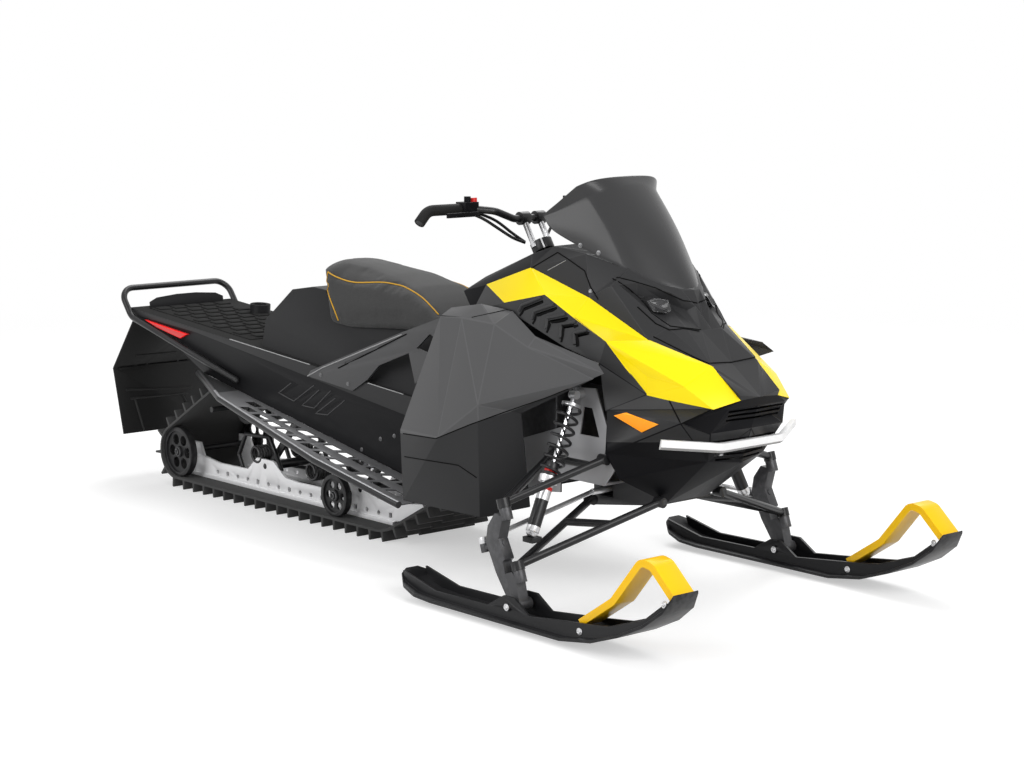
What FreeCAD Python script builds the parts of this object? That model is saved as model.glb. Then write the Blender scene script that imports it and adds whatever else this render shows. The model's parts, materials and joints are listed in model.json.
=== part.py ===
import FreeCAD, Part
import math
import os

V = FreeCAD.Vector

# A sport snowmobile: two steered skis in front, one driven track under a tunnel behind.
# X points forward, Y to the rider's left, Z up, in millimetres. Every place below is worked
# out from the ski bolts and the ground, and the finished pieces are moved at the end so that
# the origin lies on the ground under the middle of the machine.

# Reference sizes that the bodywork's shares follow
BODY_LENGTH = 1000.0  # rear of the console to the nose
BODY_HALF = 400.0  # centre plane to the outer face of a side panel
COWL_HEIGHT = 1000.0  # ground to the top of the cowl behind the windshield
TUNNEL_LENGTH = 2000.0  # hidden front edge of the tunnel to its tail
TUNNEL_HALF = 215.0  # centre plane to the outer face of a tunnel wall
SKI_STANCE = 1070.0  # between the centre lines of the two skis
TUNNEL_START_SHARE = 0.5  # of BODY_LENGTH, behind the ski bolts

# Sheets, skins and clearances
SKIN = 3.0
SHEET = 3.0
PLATE = 5.0
SEAT_GAP = 0.3
RUNNING_FIT = 0.05
MOVING_GAP = 6.0
OVERRUN = 2.0

# Skis
SKI_LENGTH = 1100.0
SKI_WIDTH = 145.0
SKI_HEIGHT = 200.0
SKI_SHELL = 9.0
SKI_WALL = 9.0
SKI_WALL_SPACING = 74.0
SKI_BOLT_RADIUS = 6.0
SKI_BOLT_HEIGHT = 60.0
SKI_BOLT_HEAD = 11.0
SKI_BOLT_HEAD_DEPTH = 7.0
KEEL_WIDTH = 16.0
WEAR_BAR_WIDTH = 10.0
WEAR_BAR_HEIGHT = 6.0
LOOP_DEPTH = 20.0
LOOP_CORNER = 30.0

# Spindles and steering
SPINDLE_WIDTH = 34.0
SPINDLE_FOOT_RADIUS = 17.0
SPINDLE_FOOT_WIDTH = 60.0
SPINDLE_BOSS_RADIUS = 17.0
BALL_STUD_RADIUS = 7.0
JOINT_HOUSING_RADIUS = 19.0
JOINT_HOUSING_HEIGHT = 26.0
JOINT_SEAT = 0.5
JOINT_ROOM_RADIUS = 43.0  # swept by the arm's tubes as the spindle turns
STEER_ARM = 120.0
STEER_ARM_DEPTH = 12.0
STEER_ARM_ROOT = 30.0
STEER_ARM_RADIUS = 9.0
STEER_ARM_SHARE = 0.4  # of the kingpin, up from its lower joint
TIE_ROD_RADIUS = 7.0
TIE_EYE_RADIUS = 13.0
TIE_EYE_HEIGHT = 18.0
TIE_LINK_RADIUS = 9.0
TIE_INNER_Y = 165.0

# Front arms and shocks
ARM_TUBE_RADIUS = 11.0
ARM_BUSH_RADIUS = 15.0
ARM_BUSH_LENGTH = 30.0
SHOCK_BODY_RADIUS = 22.0
SHOCK_SHAFT_RADIUS = 7.0
SHOCK_COLLAR_RADIUS = 28.0
SHOCK_COLLAR_HEIGHT = 26.0
SHOCK_CAP_HEIGHT = 9.0
SHOCK_EYE_RADIUS = 13.0
SHOCK_EYE_WIDTH = 24.0
SPRING_RADIUS = 30.0
SPRING_WIRE = 4.5
SPRING_TURNS = 6
SHOCK_BRACKET_WIDTH = 40.0
SHOCK_BRACKET_DEPTH = 36.0

# Handlebar
BAR_RADIUS = 11.0
BAR_BEND = 45.0
GRIP_RADIUS = 16.5
POST_RADIUS = 14.0
POST_LENGTH = 300.0
POST_BEARING_RADIUS = 28.0
POST_BEARING_LENGTH = 60.0
RISER_RADIUS = 9.0
RISER_SPACING = 62.0
CLAMP_RADIUS = 20.0
CLAMP_WIDTH = 34.0
HUB_RADIUS = 34.0
HUB_DEPTH = 16.0
CONTROL_WIDTH = 52.0
CONTROL_DEPTH = 44.0
CONTROL_HEIGHT = 40.0
SWITCH_RADIUS = 10.0
SWITCH_HEIGHT = 16.0
LEVER_DEPTH = 8.0
LEVER_HEIGHT = 14.0
LEVER_LENGTH = 118.0
LEVER_REACH = 40.0

# Track and its suspension
TRACK_WIDTH = 381.0
BELT = 8.0
LUG_HEIGHT = 31.8
LUG_PITCH = 64.0
LUG_THICKNESS = 12.0
LUG_ROOT = 3.0
DRIVE_RADIUS = 92.0
REAR_WHEEL_RADIUS = 89.0
REAR_WHEEL_WIDTH = 26.0
REAR_WHEEL_Y = 166.0
BOGIE_RADIUS = 70.0
BOGIE_WIDTH = 24.0
BOGIE_Y = 166.0
TOP_WHEEL_RADIUS = 66.0
TOP_WHEEL_Y = 60.0
WHEEL_HUB_RADIUS = 20.0
WHEEL_WEB = 8.0
WHEEL_RIM = 14.0
WHEEL_HOLES = 6
AXLE_RADIUS = 10.0
RAIL_Y = 105.0
RAIL_THICKNESS = 10.0
SLIDER_HEIGHT = 12.0
SLIDER_WIDTH = 24.0
DRIVE_WHEEL_WIDTH = 40.0
DRIVE_WHEEL_Y = 95.0
ARM_RADIUS = 13.0
SKID_CROSS_RADIUS = 16.0
SKID_SHOCK_RADIUS = 24.0

# Tunnel, boards, bumpers
BOARD_EDGE_RADIUS = 11.0
BOARD_EDGE_BEND = 33.0
BUMPER_RADIUS = 11.0
BUMPER_BEND = 60.0
FLAP_THICKNESS = 6.0
LAMP_DEPTH = 10.0
FRONT_BAR_HEIGHT = 27.0
FRONT_BAR_DEPTH = 16.0
FRONT_BAR_CHAMFER = 8.0
FRONT_BUMPER_BEND = 40.0
REFLECTOR_DEPTH = 5.0
BRACE_DEPTH = 8.0
GROOVE_DEPTH = 2.0
EMBOSS_DEPTH = 1.2
BOARD_HOLE_LENGTH = 58.0
BOARD_HOLE_WIDTH = 30.0
BOARD_HOLE_SLANT = 14.0
BOARD_HOLE_PITCH = 76.0
BOARD_HOLE_MARGIN = 14.0
FLAP_RIB_HEIGHT = 6.0
FLAP_RIB_WIDTH = 9.0
RAIL_HOLE_RADIUS = 8.0
RAIL_HOLE_PITCH = 62.0
RAIL_HOLE_DROP = 17.0
RING_RADIUS = 37.0  # accessory socket on the tunnel's roof
RING_BORE = 24.0
RING_HEIGHT = 34.0

# Front frame
FRAME_TUBE_RADIUS = 12.0
FRAME_FLOOR = 7.0
CRADLE_GAP = 40.0  # between the cradle's floor and the tunnel
CLIP_RADIUS = 9.0
NOSE_LUG_WIDTH = 80.0
NOSE_LUG_HEIGHT = 20.0
NOSE_LUG_REACH = 50.0
STAND_OFF_RADIUS = 9.0

# Openings in the bodywork
LOUVRE_GAP = 7.0
GRILLE_SLOT = 6.0
LENS_INSET = 4.0

# Bodywork corners as shares of BODY_LENGTH, BODY_HALF and COWL_HEIGHT
COWL_SHARES = {
    "strip_mid": (0.378, 0.0, 0.622),
    "strip_edge": (0.374, 0.185, 0.619),
    "mask_foot": (0.270, 0.0, 0.702),
    "mask_foot_edge": (0.282, 0.225, 0.704),
    "mask_nose": (0.152, 0.0, 0.829),
    "mask_chin": (0.190, 0.0, 0.789),
    "mask_side": (0.109, 0.41, 0.765),
    "shield_tip": (0.121, 0.0, 0.893),
    "shield_tip_edge": (0.108, 0.085, 0.893),
    "shield_mid": (-0.010, 0.315, 0.950),
    "brow_side": (-0.025, 0.45, 0.905),
    "eye_a": (-0.012, 0.410, 0.908),
    "eye_b": (0.022, 0.315, 0.912),
    "eye_c": (0.095, 0.160, 0.887),
    "eye_d": (0.150, 0.060, 0.852),
    "lip_b": (0.025, 0.375, 0.880),
    "lip_d": (0.094, 0.318, 0.827),
    "lip_e": (0.133, 0.278, 0.798),
    "lip_f": (0.172, 0.185, 0.791),
    "lip_g": (0.191, 0.100, 0.789),
    "deep_b": (0.012, 0.290, 0.878),
    "deep_c": (0.062, 0.150, 0.862),
    "deep_d": (0.122, 0.075, 0.838),
    "deck_side": (-0.095, 0.495, 0.868),
    "shield_rear": (-0.150, 0.395, 0.985),
    "shield_end": (-0.284, 0.40, 0.998),
    "deck_mid": (-0.060, 0.0, 0.965),
    "deck_rear_mid": (-0.292, 0.0, 1.0),
    "yellow_peak": (-0.360, 0.45, 0.932),
    "console_mid": (-0.442, 0.0, 0.968),
    "console_edge": (-0.442, 0.25, 0.962),
    "console_tail": (-0.640, 0.0, 0.885),
    "console_tail_edge": (-0.640, 0.28, 0.880),
    "yellow_tail": (-0.541, 0.49, 0.869),
    "console_corner": (-0.640, 0.48, 0.845),
    "yellow_foot": (0.346, 0.375, 0.599),
    "yellow_corner": (0.146, 0.515, 0.622),
    "scoop_tip": (0.267, 0.462, 0.656),
    "scoop_valley": (0.141, 0.509, 0.672),
    "yellow_knee": (0.029, 0.625, 0.760),
    "yellow_low": (-0.110, 0.60, 0.815),
    "yellow_notch": (-0.246, 0.575, 0.866),
    "yellow_heel": (-0.421, 0.575, 0.828),
    "fender_foot": (0.271, 0.50, 0.556),
    "fender_line": (0.048, 0.655, 0.573),
    "fender_top": (0.020, 0.665, 0.700),
    "vent_front": (-0.110, 0.69, 0.733),
    "vent_mid": (-0.246, 0.64, 0.768),
    "vent_rear": (-0.378, 0.58, 0.800),
    "console_flank": (-0.576, 0.55, 0.788),
    "grille_top": (0.370, 0.0, 0.600),
    "grille_top_edge": (0.366, 0.28, 0.598),
    "grille_foot": (0.345, 0.0, 0.530),
    "grille_foot_edge": (0.330, 0.36, 0.530),
    "jaw_mid": (0.310, 0.0, 0.430),
    "jaw_edge": (0.289, 0.275, 0.443),
    "jaw_side": (0.026, 0.60, 0.445),
    "chin_mid": (0.115, 0.0, 0.300),
    "chin_edge": (0.110, 0.20, 0.300),
    "chin_side": (0.043, 0.53, 0.373),
}
EYE_FACES = [
    ("deep_c", "deep_b", "eye_b", "eye_c"),
    ("deep_b", "eye_a", "eye_b"),
    ("deep_d", "deep_c", "eye_c", "eye_d"),
    ("lip_b", "eye_a", "deep_b"),
    ("lip_d", "lip_b", "deep_b"),
    ("lip_e", "lip_d", "deep_b", "deep_c"),
    ("lip_f", "lip_e", "deep_c"),
    ("lip_g", "lip_f", "deep_c", "deep_d"),
    ("lip_g", "deep_d", "eye_d"),
]
EYE_MOUTH = [
    ("eye_a", "eye_b", "lip_b"),
    ("eye_b", "eye_c", "lip_d", "lip_b"),
    ("eye_c", "lip_f", "lip_e", "lip_d"),
    ("eye_c", "eye_d", "lip_g", "lip_f"),
]
HOOD_FACES = EYE_FACES + [
    ("strip_mid", "strip_edge", "mask_foot_edge", "mask_foot"),
    ("mask_foot", "mask_foot_edge", "lip_g", "mask_chin"),
    ("mask_foot_edge", "mask_side", "lip_e", "lip_f", "lip_g"),
    ("mask_side", "brow_side", "eye_a", "lip_b", "lip_d", "lip_e"),
    ("eye_b", "eye_a", "brow_side", "shield_mid"),
    ("eye_c", "eye_b", "shield_mid", "shield_tip_edge"),
    ("eye_d", "eye_c", "shield_tip_edge"),
    ("mask_nose", "eye_d", "shield_tip_edge", "shield_tip"),
    ("mask_chin", "lip_g", "eye_d", "mask_nose"),
    ("brow_side", "mask_side", "deck_side"),
    ("shield_mid", "brow_side", "deck_side", "shield_rear"),
    ("shield_rear", "deck_side", "yellow_peak", "shield_end"),
    ("shield_tip", "shield_tip_edge", "shield_mid", "deck_mid"),
    ("deck_mid", "shield_mid", "shield_rear", "shield_end", "deck_rear_mid"),
]
CONSOLE_FACES = [
    ("deck_rear_mid", "shield_end", "console_edge", "console_mid"),
    ("shield_end", "yellow_peak", "console_edge"),
    ("console_mid", "console_edge", "console_tail_edge", "console_tail"),
    ("console_edge", "yellow_peak", "yellow_tail", "console_corner", "console_tail_edge"),
    ("yellow_tail", "console_flank", "console_corner"),
]
YELLOW_FACES = [
    ("strip_edge", "yellow_foot", "scoop_tip", "mask_foot_edge"),
    ("yellow_foot", "yellow_corner", "scoop_tip"),
    ("mask_foot_edge", "scoop_tip", "yellow_knee", "mask_side"),
    ("scoop_tip", "yellow_corner", "scoop_valley"),
    ("yellow_corner", "yellow_knee", "scoop_valley"),
    ("yellow_knee", "scoop_tip", "scoop_valley"),
    ("mask_side", "yellow_knee", "yellow_low", "deck_side"),
    ("deck_side", "yellow_low", "yellow_notch", "yellow_peak"),
    ("yellow_peak", "yellow_notch", "yellow_heel", "yellow_tail"),
]
VENT_FACES = [
    ("yellow_knee", "fender_top", "vent_front", "yellow_low"),
    ("yellow_low", "vent_front", "vent_mid", "yellow_notch"),
    ("yellow_notch", "vent_mid", "vent_rear", "yellow_heel"),
    ("yellow_heel", "vent_rear", "console_flank", "yellow_tail"),
]
FASCIA_FACES = [
    ("yellow_foot", "fender_foot", "fender_line", "yellow_corner"),
    ("yellow_corner", "fender_line", "fender_top", "yellow_knee"),
    ("strip_mid", "grille_top", "grille_top_edge", "strip_edge"),
    ("strip_edge", "grille_top_edge", "yellow_foot"),
    ("grille_top", "grille_foot", "grille_foot_edge", "grille_top_edge"),
    ("grille_top_edge", "grille_foot_edge", "fender_foot", "yellow_foot"),
]
PAN_FACES = [
    ("grille_foot", "jaw_mid", "jaw_edge", "grille_foot_edge"),
    ("grille_foot_edge", "jaw_edge", "fender_foot"),
    ("fender_foot", "jaw_edge", "jaw_side", "fender_line"),
    ("jaw_mid", "chin_mid", "chin_edge", "jaw_edge"),
    ("jaw_edge", "chin_edge", "chin_side", "jaw_side"),
]

# Windshield: rows from the foot to the top edge, each from the centre plane out to the wing's tail
SHIELD_SHARES = [
    [(0.125, 0.0, 0.883), (0.109, 0.095, 0.887), (0.052, 0.215, 0.913), (0.012, 0.285, 0.934),
     (-0.028, 0.328, 0.951), (-0.100, 0.375, 0.976), (-0.185, 0.440, 1.012), (-0.258, 0.500, 1.048)],
    [(-0.002, 0.0, 1.052), (-0.008, 0.115, 1.051), (-0.030, 0.222, 1.046), (-0.050, 0.285, 1.043),
     (-0.078, 0.330, 1.046), (-0.128, 0.385, 1.056), (-0.200, 0.445, 1.066), (-0.273, 0.505, 1.072)],
    [(-0.145, 0.0, 1.200), (-0.147, 0.120, 1.196), (-0.153, 0.225, 1.178), (-0.160, 0.290, 1.160),
     (-0.172, 0.335, 1.146), (-0.196, 0.380, 1.130), (-0.234, 0.430, 1.108), (-0.284, 0.500, 1.084)],
]
PANEL_SHARES = {
    "top_rear": (-0.651, 0.605, 0.794),
    "top_peak": (-0.515, 0.592, 0.817),
    "top_mid": (-0.378, 0.591, 0.809),
    "top_front": (-0.237, 0.68, 0.748),
    "wing_tip": (0.083, 0.825, 0.714),
    "bevel_rear": (-0.665, 0.675, 0.770),
    "bevel_peak": (-0.560, 0.69, 0.775),
    "bevel_mid": (-0.400, 0.715, 0.772),
    "bevel_front": (-0.237, 0.75, 0.722),
    "bevel_tip": (0.080, 0.835, 0.694),
    "crease_rear": (-0.723, 0.95, 0.431),
    "crease_low": (-0.523, 1.0, 0.436),
    "crease_mid": (-0.341, 1.0, 0.554),
    "wing_foot": (0.065, 0.83, 0.668),
    "edge_mid": (-0.231, 0.83, 0.538),
    "foot_rear": (-0.687, 1.0, 0.225),
    "foot_mid": (-0.391, 0.88, 0.214),
    "foot_front": (-0.251, 0.70, 0.256),
}
PANEL_FACES = [
    ("top_rear", "top_peak", "bevel_peak", "bevel_rear"),
    ("top_peak", "top_mid", "bevel_mid", "bevel_peak"),
    ("top_mid", "top_front", "bevel_front", "bevel_mid"),
    ("top_front", "wing_tip", "bevel_tip", "bevel_front"),
    ("bevel_rear", "bevel_peak", "crease_low", "crease_rear"),
    ("bevel_peak", "bevel_mid", "crease_mid", "crease_low"),
    ("bevel_mid", "bevel_front", "crease_mid"),
    ("bevel_front", "bevel_tip", "wing_foot", "crease_mid"),
    ("crease_mid", "wing_foot", "edge_mid"),
    ("crease_rear", "crease_low", "foot_rear"),
    ("crease_low", "crease_mid", "foot_mid", "foot_rear"),
    ("crease_mid", "edge_mid", "foot_front", "foot_mid"),
]

# Outlines in the side view: x as shares of BODY_LENGTH, z as shares of COWL_HEIGHT
BRACE_SHARES = [(-1.403, 0.503), (-1.162, 0.482), (-1.084, 0.527), (-1.024, 0.578),
                (-0.874, 0.633), (-0.844, 0.541), (-0.740, 0.600), (-0.560, 0.700),
                (-0.490, 0.780), (-0.490, 0.7925), (-0.576, 0.7875), (-0.701, 0.762),
                (-0.913, 0.692), (-1.385, 0.523)]
BRACE_WINDOW_SHARES = [(-0.835, 0.652), (-0.772, 0.640), (-0.742, 0.690), (-0.770, 0.702)]
TOWER_SHARES = [(-0.125, 0.612), (-0.045, 0.618), (0.020, 0.470), (0.035, 0.400),
                (-0.010, 0.345), (-0.190, 0.345), (-0.215, 0.430)]
CRADLE_SHARES = [(-0.190, 0.490), (-0.190, 0.345), (-0.190, 0.300), (-0.620, 0.250),
                 (-0.620, 0.350), (-0.400, 0.420)]
FLOOR_SHARES = (-0.010, -0.190, 0.345)
ENGINE_SHARES = (-0.215, -0.515, 0.320, 0.620)  # its front and rear, then its foot and top
BRACE_CLIP_SHARES = [(-0.600, 0.745), (-0.530, 0.760)]
TOWER_HOLE_SHARES = [(-0.095, 0.560), (-0.060, 0.560), (-0.030, 0.480), (-0.110, 0.480)]
KEEL_BOX_SHARES = [(-0.170, 0.345), (0.060, 0.345), (0.090, 0.330), (0.095, 0.290), (-0.170, 0.252)]
TIE_WINDOW_SHARES = [(-0.140, 0.284), (-0.090, 0.284), (-0.090, 0.330), (-0.140, 0.330)]
LOUVRE_SHARES = [
    [(-0.250, 0.851), (-0.335, 0.821), (-0.346, 0.803)],
    [(-0.192, 0.836), (-0.271, 0.810), (-0.276, 0.786)],
    [(-0.139, 0.813), (-0.208, 0.797), (-0.205, 0.768)],
    [(-0.092, 0.796), (-0.146, 0.785), (-0.132, 0.749)],
    [(-0.044, 0.778), (-0.085, 0.766), (-0.070, 0.737)],
]
LENS_SHARES = [(0.305, 0.866), (0.255, 0.874), (0.190, 0.869), (0.205, 0.842), (0.240, 0.834), (0.300, 0.838)]
GRILLE_SHARES = [(0.560, 0.26), (0.573, 0.26), (0.586, 0.27)]
JAW_GRILLE_SHARES = [(0.443, 0.22), (0.457, 0.24), (0.471, 0.26), (0.485, 0.28), (0.499, 0.30)]
GROOVE_SHARES = [(-1.200, 0.562), (-0.930, 0.659), (-0.930, 0.667), (-1.200, 0.570)]
REFLECTOR_SHARES = [(0.070, 0.560), (0.108, 0.572), (0.205, 0.548), (0.150, 0.520)]

# Outlines in the side view: x as shares of TUNNEL_LENGTH, z as shares of COWL_HEIGHT
TUNNEL_SIDE_SHARES = [(0.06, 0.475), (1.0, 0.630), (0.985, 0.598), (0.90, 0.566), (0.765, 0.444),
                      (0.16, 0.227), (0.06, 0.215)]
TUNNEL_BAND_SHARES = [(0.06, 0.475), (1.0, 0.630), (0.97, 0.605), (0.78, 0.580), (0.06, 0.400)]
LAMP_SHARES = [(0.943, 0.597), (0.805, 0.571), (0.828, 0.552), (0.90, 0.575)]
EMBOSS_SHARES = [
    [(0.538, 0.422), (0.481, 0.411), (0.427, 0.461), (0.440, 0.462), (0.484, 0.421), (0.522, 0.428),
     (0.477, 0.466), (0.489, 0.467)],
    [(0.474, 0.406), (0.431, 0.400), (0.375, 0.454), (0.388, 0.457), (0.434, 0.411), (0.461, 0.415),
     (0.414, 0.459), (0.424, 0.460)],
    [(0.438, 0.395), (0.409, 0.389), (0.359, 0.438), (0.371, 0.440), (0.412, 0.399), (0.428, 0.402),
     (0.388, 0.441), (0.396, 0.442)],
]
SEAT_BASE_SHARES = [(0.155, 0.475), (0.155, 0.712), (0.377, 0.686), (0.462, 0.704), (0.520, 0.752),
                    (0.594, 0.752), (0.625, 0.690), (0.610, 0.550)]
CUSHION_SIDE_SHARES = [(0.163, 0.773), (0.243, 0.815), (0.3125, 0.839), (0.400, 0.858),
                       (0.470, 0.866), (0.488, 0.835), (0.470, 0.700), (0.377, 0.680),
                       (0.163, 0.706)]

# Places on the running boards: x as shares of TUNNEL_LENGTH, y as shares of the way from the
# tunnel's wall to BODY_HALF
BOARD_SHARES = [(0.765, 0.108), (0.631, 0.622), (0.318, 1.0), (0.104, 1.0)]
BOARD_HOLE_ROWS_SHARE = (0.30, 0.68)
BOARD_HOLE_RUN_SHARES = (0.14, 0.66)
BOARD_PLANE_SHARES = (0.170, 0.358)  # of COWL_HEIGHT: at the tunnel's front, and the rise to its tail

# Accessory socket: x as a share of TUNNEL_LENGTH, y as a share of TUNNEL_HALF
RING_SHARES = (0.855, 0.70)

# Rear flap: x as shares of TUNNEL_LENGTH, y as shares of TUNNEL_HALF, z as shares of COWL_HEIGHT
FLAP_TOP_SHARES = (0.985, 0.93)
FLAP_KNEE_SHARES = (1.070, 0.96, 0.392)
FLAP_FOOT_SHARES = (1.050, 0.90, 0.150)
FLAP_RIB_SHARES = (0.15, 0.40, 0.62)  # cross ribs, down the panel below the knee
FLAP_SIDE_RIB_SHARES = (0.34, 0.60)  # upright ribs, of the flap's half width
REAR_BUMPER_SHARES = [(0.653, 1.0, 0.442), (0.985, 1.0, 0.600), (1.022, 1.0, 0.695)]
FRONT_BUMPER_SHARES = [(0.262, 0.665, 0.505), (0.348, 0.30, 0.490)]

# Steering and suspension points as shares of BODY_LENGTH, BODY_HALF and COWL_HEIGHT
KINGPIN_TOP_SHARES = (-0.072, 0.330)
KINGPIN_LOW_SHARES = (-0.014, 0.165)
UPPER_FRONT_SHARES = (0.005, 0.58, 0.425)
UPPER_REAR_SHARES = (-0.195, 0.58, 0.425)
LOWER_FRONT_SHARES = (0.115, 0.30, 0.305)
LOWER_REAR_SHARES = (-0.150, 0.34, 0.275)
SHOCK_TOP_SHARES = (-0.100, 0.62, 0.597)
SHOCK_FOOT_SHARES = (-0.075, 1.07, 0.234)
SPRING_SEAT_SHARES = (0.09, 0.58)  # of the shock: under its cap, and at its collar
TIE_INNER_SHARES = (-0.115, 0.306)
UPPER_CROSS_SHARE = 0.14
LOWER_CROSS_SHARE = 0.35
SPINDLE_SHARES = [(-0.092, 0.300), (-0.058, 0.296), (-0.075, 0.232), (-0.048, 0.180),
                  (-0.004, 0.132), (0.012, 0.070), (-0.030, 0.060), (-0.085, 0.135),
                  (-0.128, 0.215), (-0.120, 0.262)]

# Handlebar points as shares of BODY_LENGTH, BODY_HALF and COWL_HEIGHT
POST_BASE_SHARES = (-0.511, 0.972)
POST_HEAD_SHARES = (-0.563, 1.055)
BAR_SHARES = [(-0.563, 0.0, 1.055), (-0.561, 0.175, 1.055), (-0.562, 0.36, 1.082),
              (-0.606, 0.52, 1.090), (-0.635, 0.85, 1.088), (-0.628, 0.945, 1.054)]
GRIP_START_SHARE = 0.60

# Ski outlines: x as shares of SKI_LENGTH from the bolt, z as shares of SKI_HEIGHT
SKI_SOLE_SHARES = [(-0.434, 0.36), (-0.405, 0.20), (-0.350, 0.105), (-0.280, 0.08), (0.210, 0.08),
                   (0.320, 0.17), (0.410, 0.34), (0.490, 0.55), (0.545, 0.78), (0.570, 1.0)]
SKI_PLAN_SHARES = [(-0.434, 0.30), (-0.425, 0.62), (-0.395, 0.90), (-0.340, 1.0), (0.400, 1.0),
                   (0.490, 0.93), (0.545, 0.80), (0.570, 0.62)]
SKI_RAIL_SHARES = [(-0.420, 0.40), (-0.285, 0.235), (-0.080, 0.25), (-0.020, 0.44), (0.020, 0.44),
                   (0.075, 0.25), (0.270, 0.36), (0.360, 0.42), (0.475, 0.63), (0.545, 0.92)]
LOOP_SHARES = [(0.250, 0.34), (0.361, 0.74), (0.455, 1.36), (0.490, 1.32), (0.562, 0.96)]

# Track path: x as shares of TUNNEL_LENGTH, z as shares of COWL_HEIGHT
DRIVE_SHARES = (0.1325, 0.300)
TOP_WHEEL_SHARES = (0.745, 0.318)
REAR_AXLE_SHARE = 0.8815
FRONT_BEND_SHARE = 0.300
BOGIE_SHARES = (0.4175, 0.62)
RAIL_SHARES = [(0.893, 0.058), (0.885, 0.050), (0.300, 0.050), (0.262, 0.064), (0.218, 0.108),
               (0.228, 0.128), (0.290, 0.112), (0.345, 0.112), (0.362, 0.158), (0.395, 0.158),
               (0.408, 0.148), (0.432, 0.148), (0.450, 0.104), (0.560, 0.100), (0.600, 0.104),
               (0.636, 0.152), (0.684, 0.152), (0.712, 0.104), (0.800, 0.100), (0.850, 0.112),
               (0.862, 0.158), (0.893, 0.158)]
RAIL_HOLE_RUN_SHARES = (0.31, 0.84)
FRONT_ARM_SHARES = [(0.315, 0.300), (0.390, 0.128)]
REAR_ARM_SHARES = [(0.560, 0.350), (0.660, 0.128)]


def cowl_point(share, lift=0.0):
    """Place (x, y, z) shares of the bodywork sizes in millimetres."""
    along, across, up = share
    return V(along * BODY_LENGTH, across * BODY_HALF, up * COWL_HEIGHT + lift)


def tunnel_x(share):
    """Distance from the ski bolts, in millimetres, of a share of the tunnel's length."""
    return -TUNNEL_START_SHARE * BODY_LENGTH - share * TUNNEL_LENGTH


def tunnel_point(share, across):
    return V(tunnel_x(share[0]), across, share[1] * COWL_HEIGHT)


def board_height(share):
    """Height of the running boards' top face at a share of the tunnel's length."""
    start, rise = BOARD_PLANE_SHARES
    return (start + rise * share) * COWL_HEIGHT


def roof_height(share):
    """Height of the tunnel's top face at a share of its length."""
    (front, low), (back, high) = TUNNEL_SIDE_SHARES[:2]
    return (low + (high - low) * (share - front) / (back - front)) * COWL_HEIGHT


def roof_normal():
    """Upward direction square to the tunnel's sloping roof."""
    front, back = [tunnel_point(share, 0) for share in TUNNEL_SIDE_SHARES[:2]]
    along = (front - back).normalize()
    return V(-along.z, 0, along.x)


def ring_point(height):
    """Point on the accessory socket's axis, measured up from the roof."""
    share, width_share = RING_SHARES
    return V(tunnel_x(share), width_share * TUNNEL_HALF, roof_height(share)) + roof_normal() * height


def mirrored(shape):
    return shape.mirror(V(0, 0, 0), V(0, 1, 0))


def both_sides(shape):
    return Part.makeCompound([shape, mirrored(shape)])


def slab(points, depth):
    """Flat outline swept along a vector."""
    return Part.Face(Part.makePolygon(points + points[:1])).extrude(depth)


def side_plate(points, near, far):
    """Outline in the XZ plane, given as vectors, between two values of Y."""
    return slab([V(p.x, near, p.z) for p in points], V(0, far - near, 0))


def side_points(shares):
    return [V(x * BODY_LENGTH, 0, z * COWL_HEIGHT) for x, z in shares]


def tunnel_points(shares):
    return [tunnel_point(share, 0) for share in shares]


def rod(start, end, radius):
    along = end - start
    return Part.makeCylinder(radius, along.Length, start, along)


def sleeve(start, end, outer, inner):
    return rod(start, end, outer).cut(rod(start, end, inner))


def cross_rod(x, z, near, far, radius):
    return rod(V(x, near, z), V(x, far, z), radius)


def box_between(low, high):
    size = high - low
    return Part.makeBox(size.x, size.y, size.z, low)


def fused(shapes):
    first = shapes[0]
    return first.multiFuse(shapes[1:]).removeSplitter() if len(shapes) > 1 else first


def bent_path(points, bend):
    """Wire of straight runs joined by tangent arcs of one radius, less where a run is short."""
    run_share = 0.45
    edges = []
    start = points[0]
    for before, corner, after in zip(points, points[1:], points[2:]):
        back = (before - corner).normalize()
        ahead = (after - corner).normalize()
        half = back.getAngle(ahead) / 2
        shorter = min((before - corner).Length, (after - corner).Length)
        reach = min(bend / math.tan(half), run_share * shorter)
        radius = reach * math.tan(half)
        middle = (back + ahead).normalize()
        crown = corner + middle * (radius / math.sin(half) - radius)
        entry = corner + back * reach
        leave = corner + ahead * reach
        edges.append(Part.LineSegment(start, entry).toShape())
        edges.append(Part.Arc(entry, crown, leave).toShape())
        start = leave
    edges.append(Part.LineSegment(start, points[-1]).toShape())
    return Part.Wire(edges)


def bent_tube(points, radius, bend):
    path = bent_path(points, bend)
    section = Part.Wire([Part.makeCircle(radius, points[0], points[1] - points[0])])
    return path.makePipeShell([section], True, False)


def triangles(faces):
    """Fan each named face into triangles of names."""
    return [(face[0], face[i], face[i + 1]) for face in faces for i in range(1, len(face) - 1)]


def flat_face(corners):
    return Part.Face(Part.makePolygon(corners + corners[:1]))


def inner_points(points, faces, thickness):
    """Move each corner of a faceted skin inward along its mean normal."""
    normals = {name: V(0, 0, 0) for name in points}
    for a, b, c in triangles(faces):
        normal = (points[b] - points[a]).cross(points[c] - points[a]).normalize()
        for name in (a, b, c):
            normals[name] = normals[name] + normal
    inside = {}
    for name, point in points.items():
        normal = normals[name]
        if point.y == 0:
            normal.y = 0
        inside[name] = point - normal.normalize() * thickness if normal.Length else point
    return inside


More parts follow.
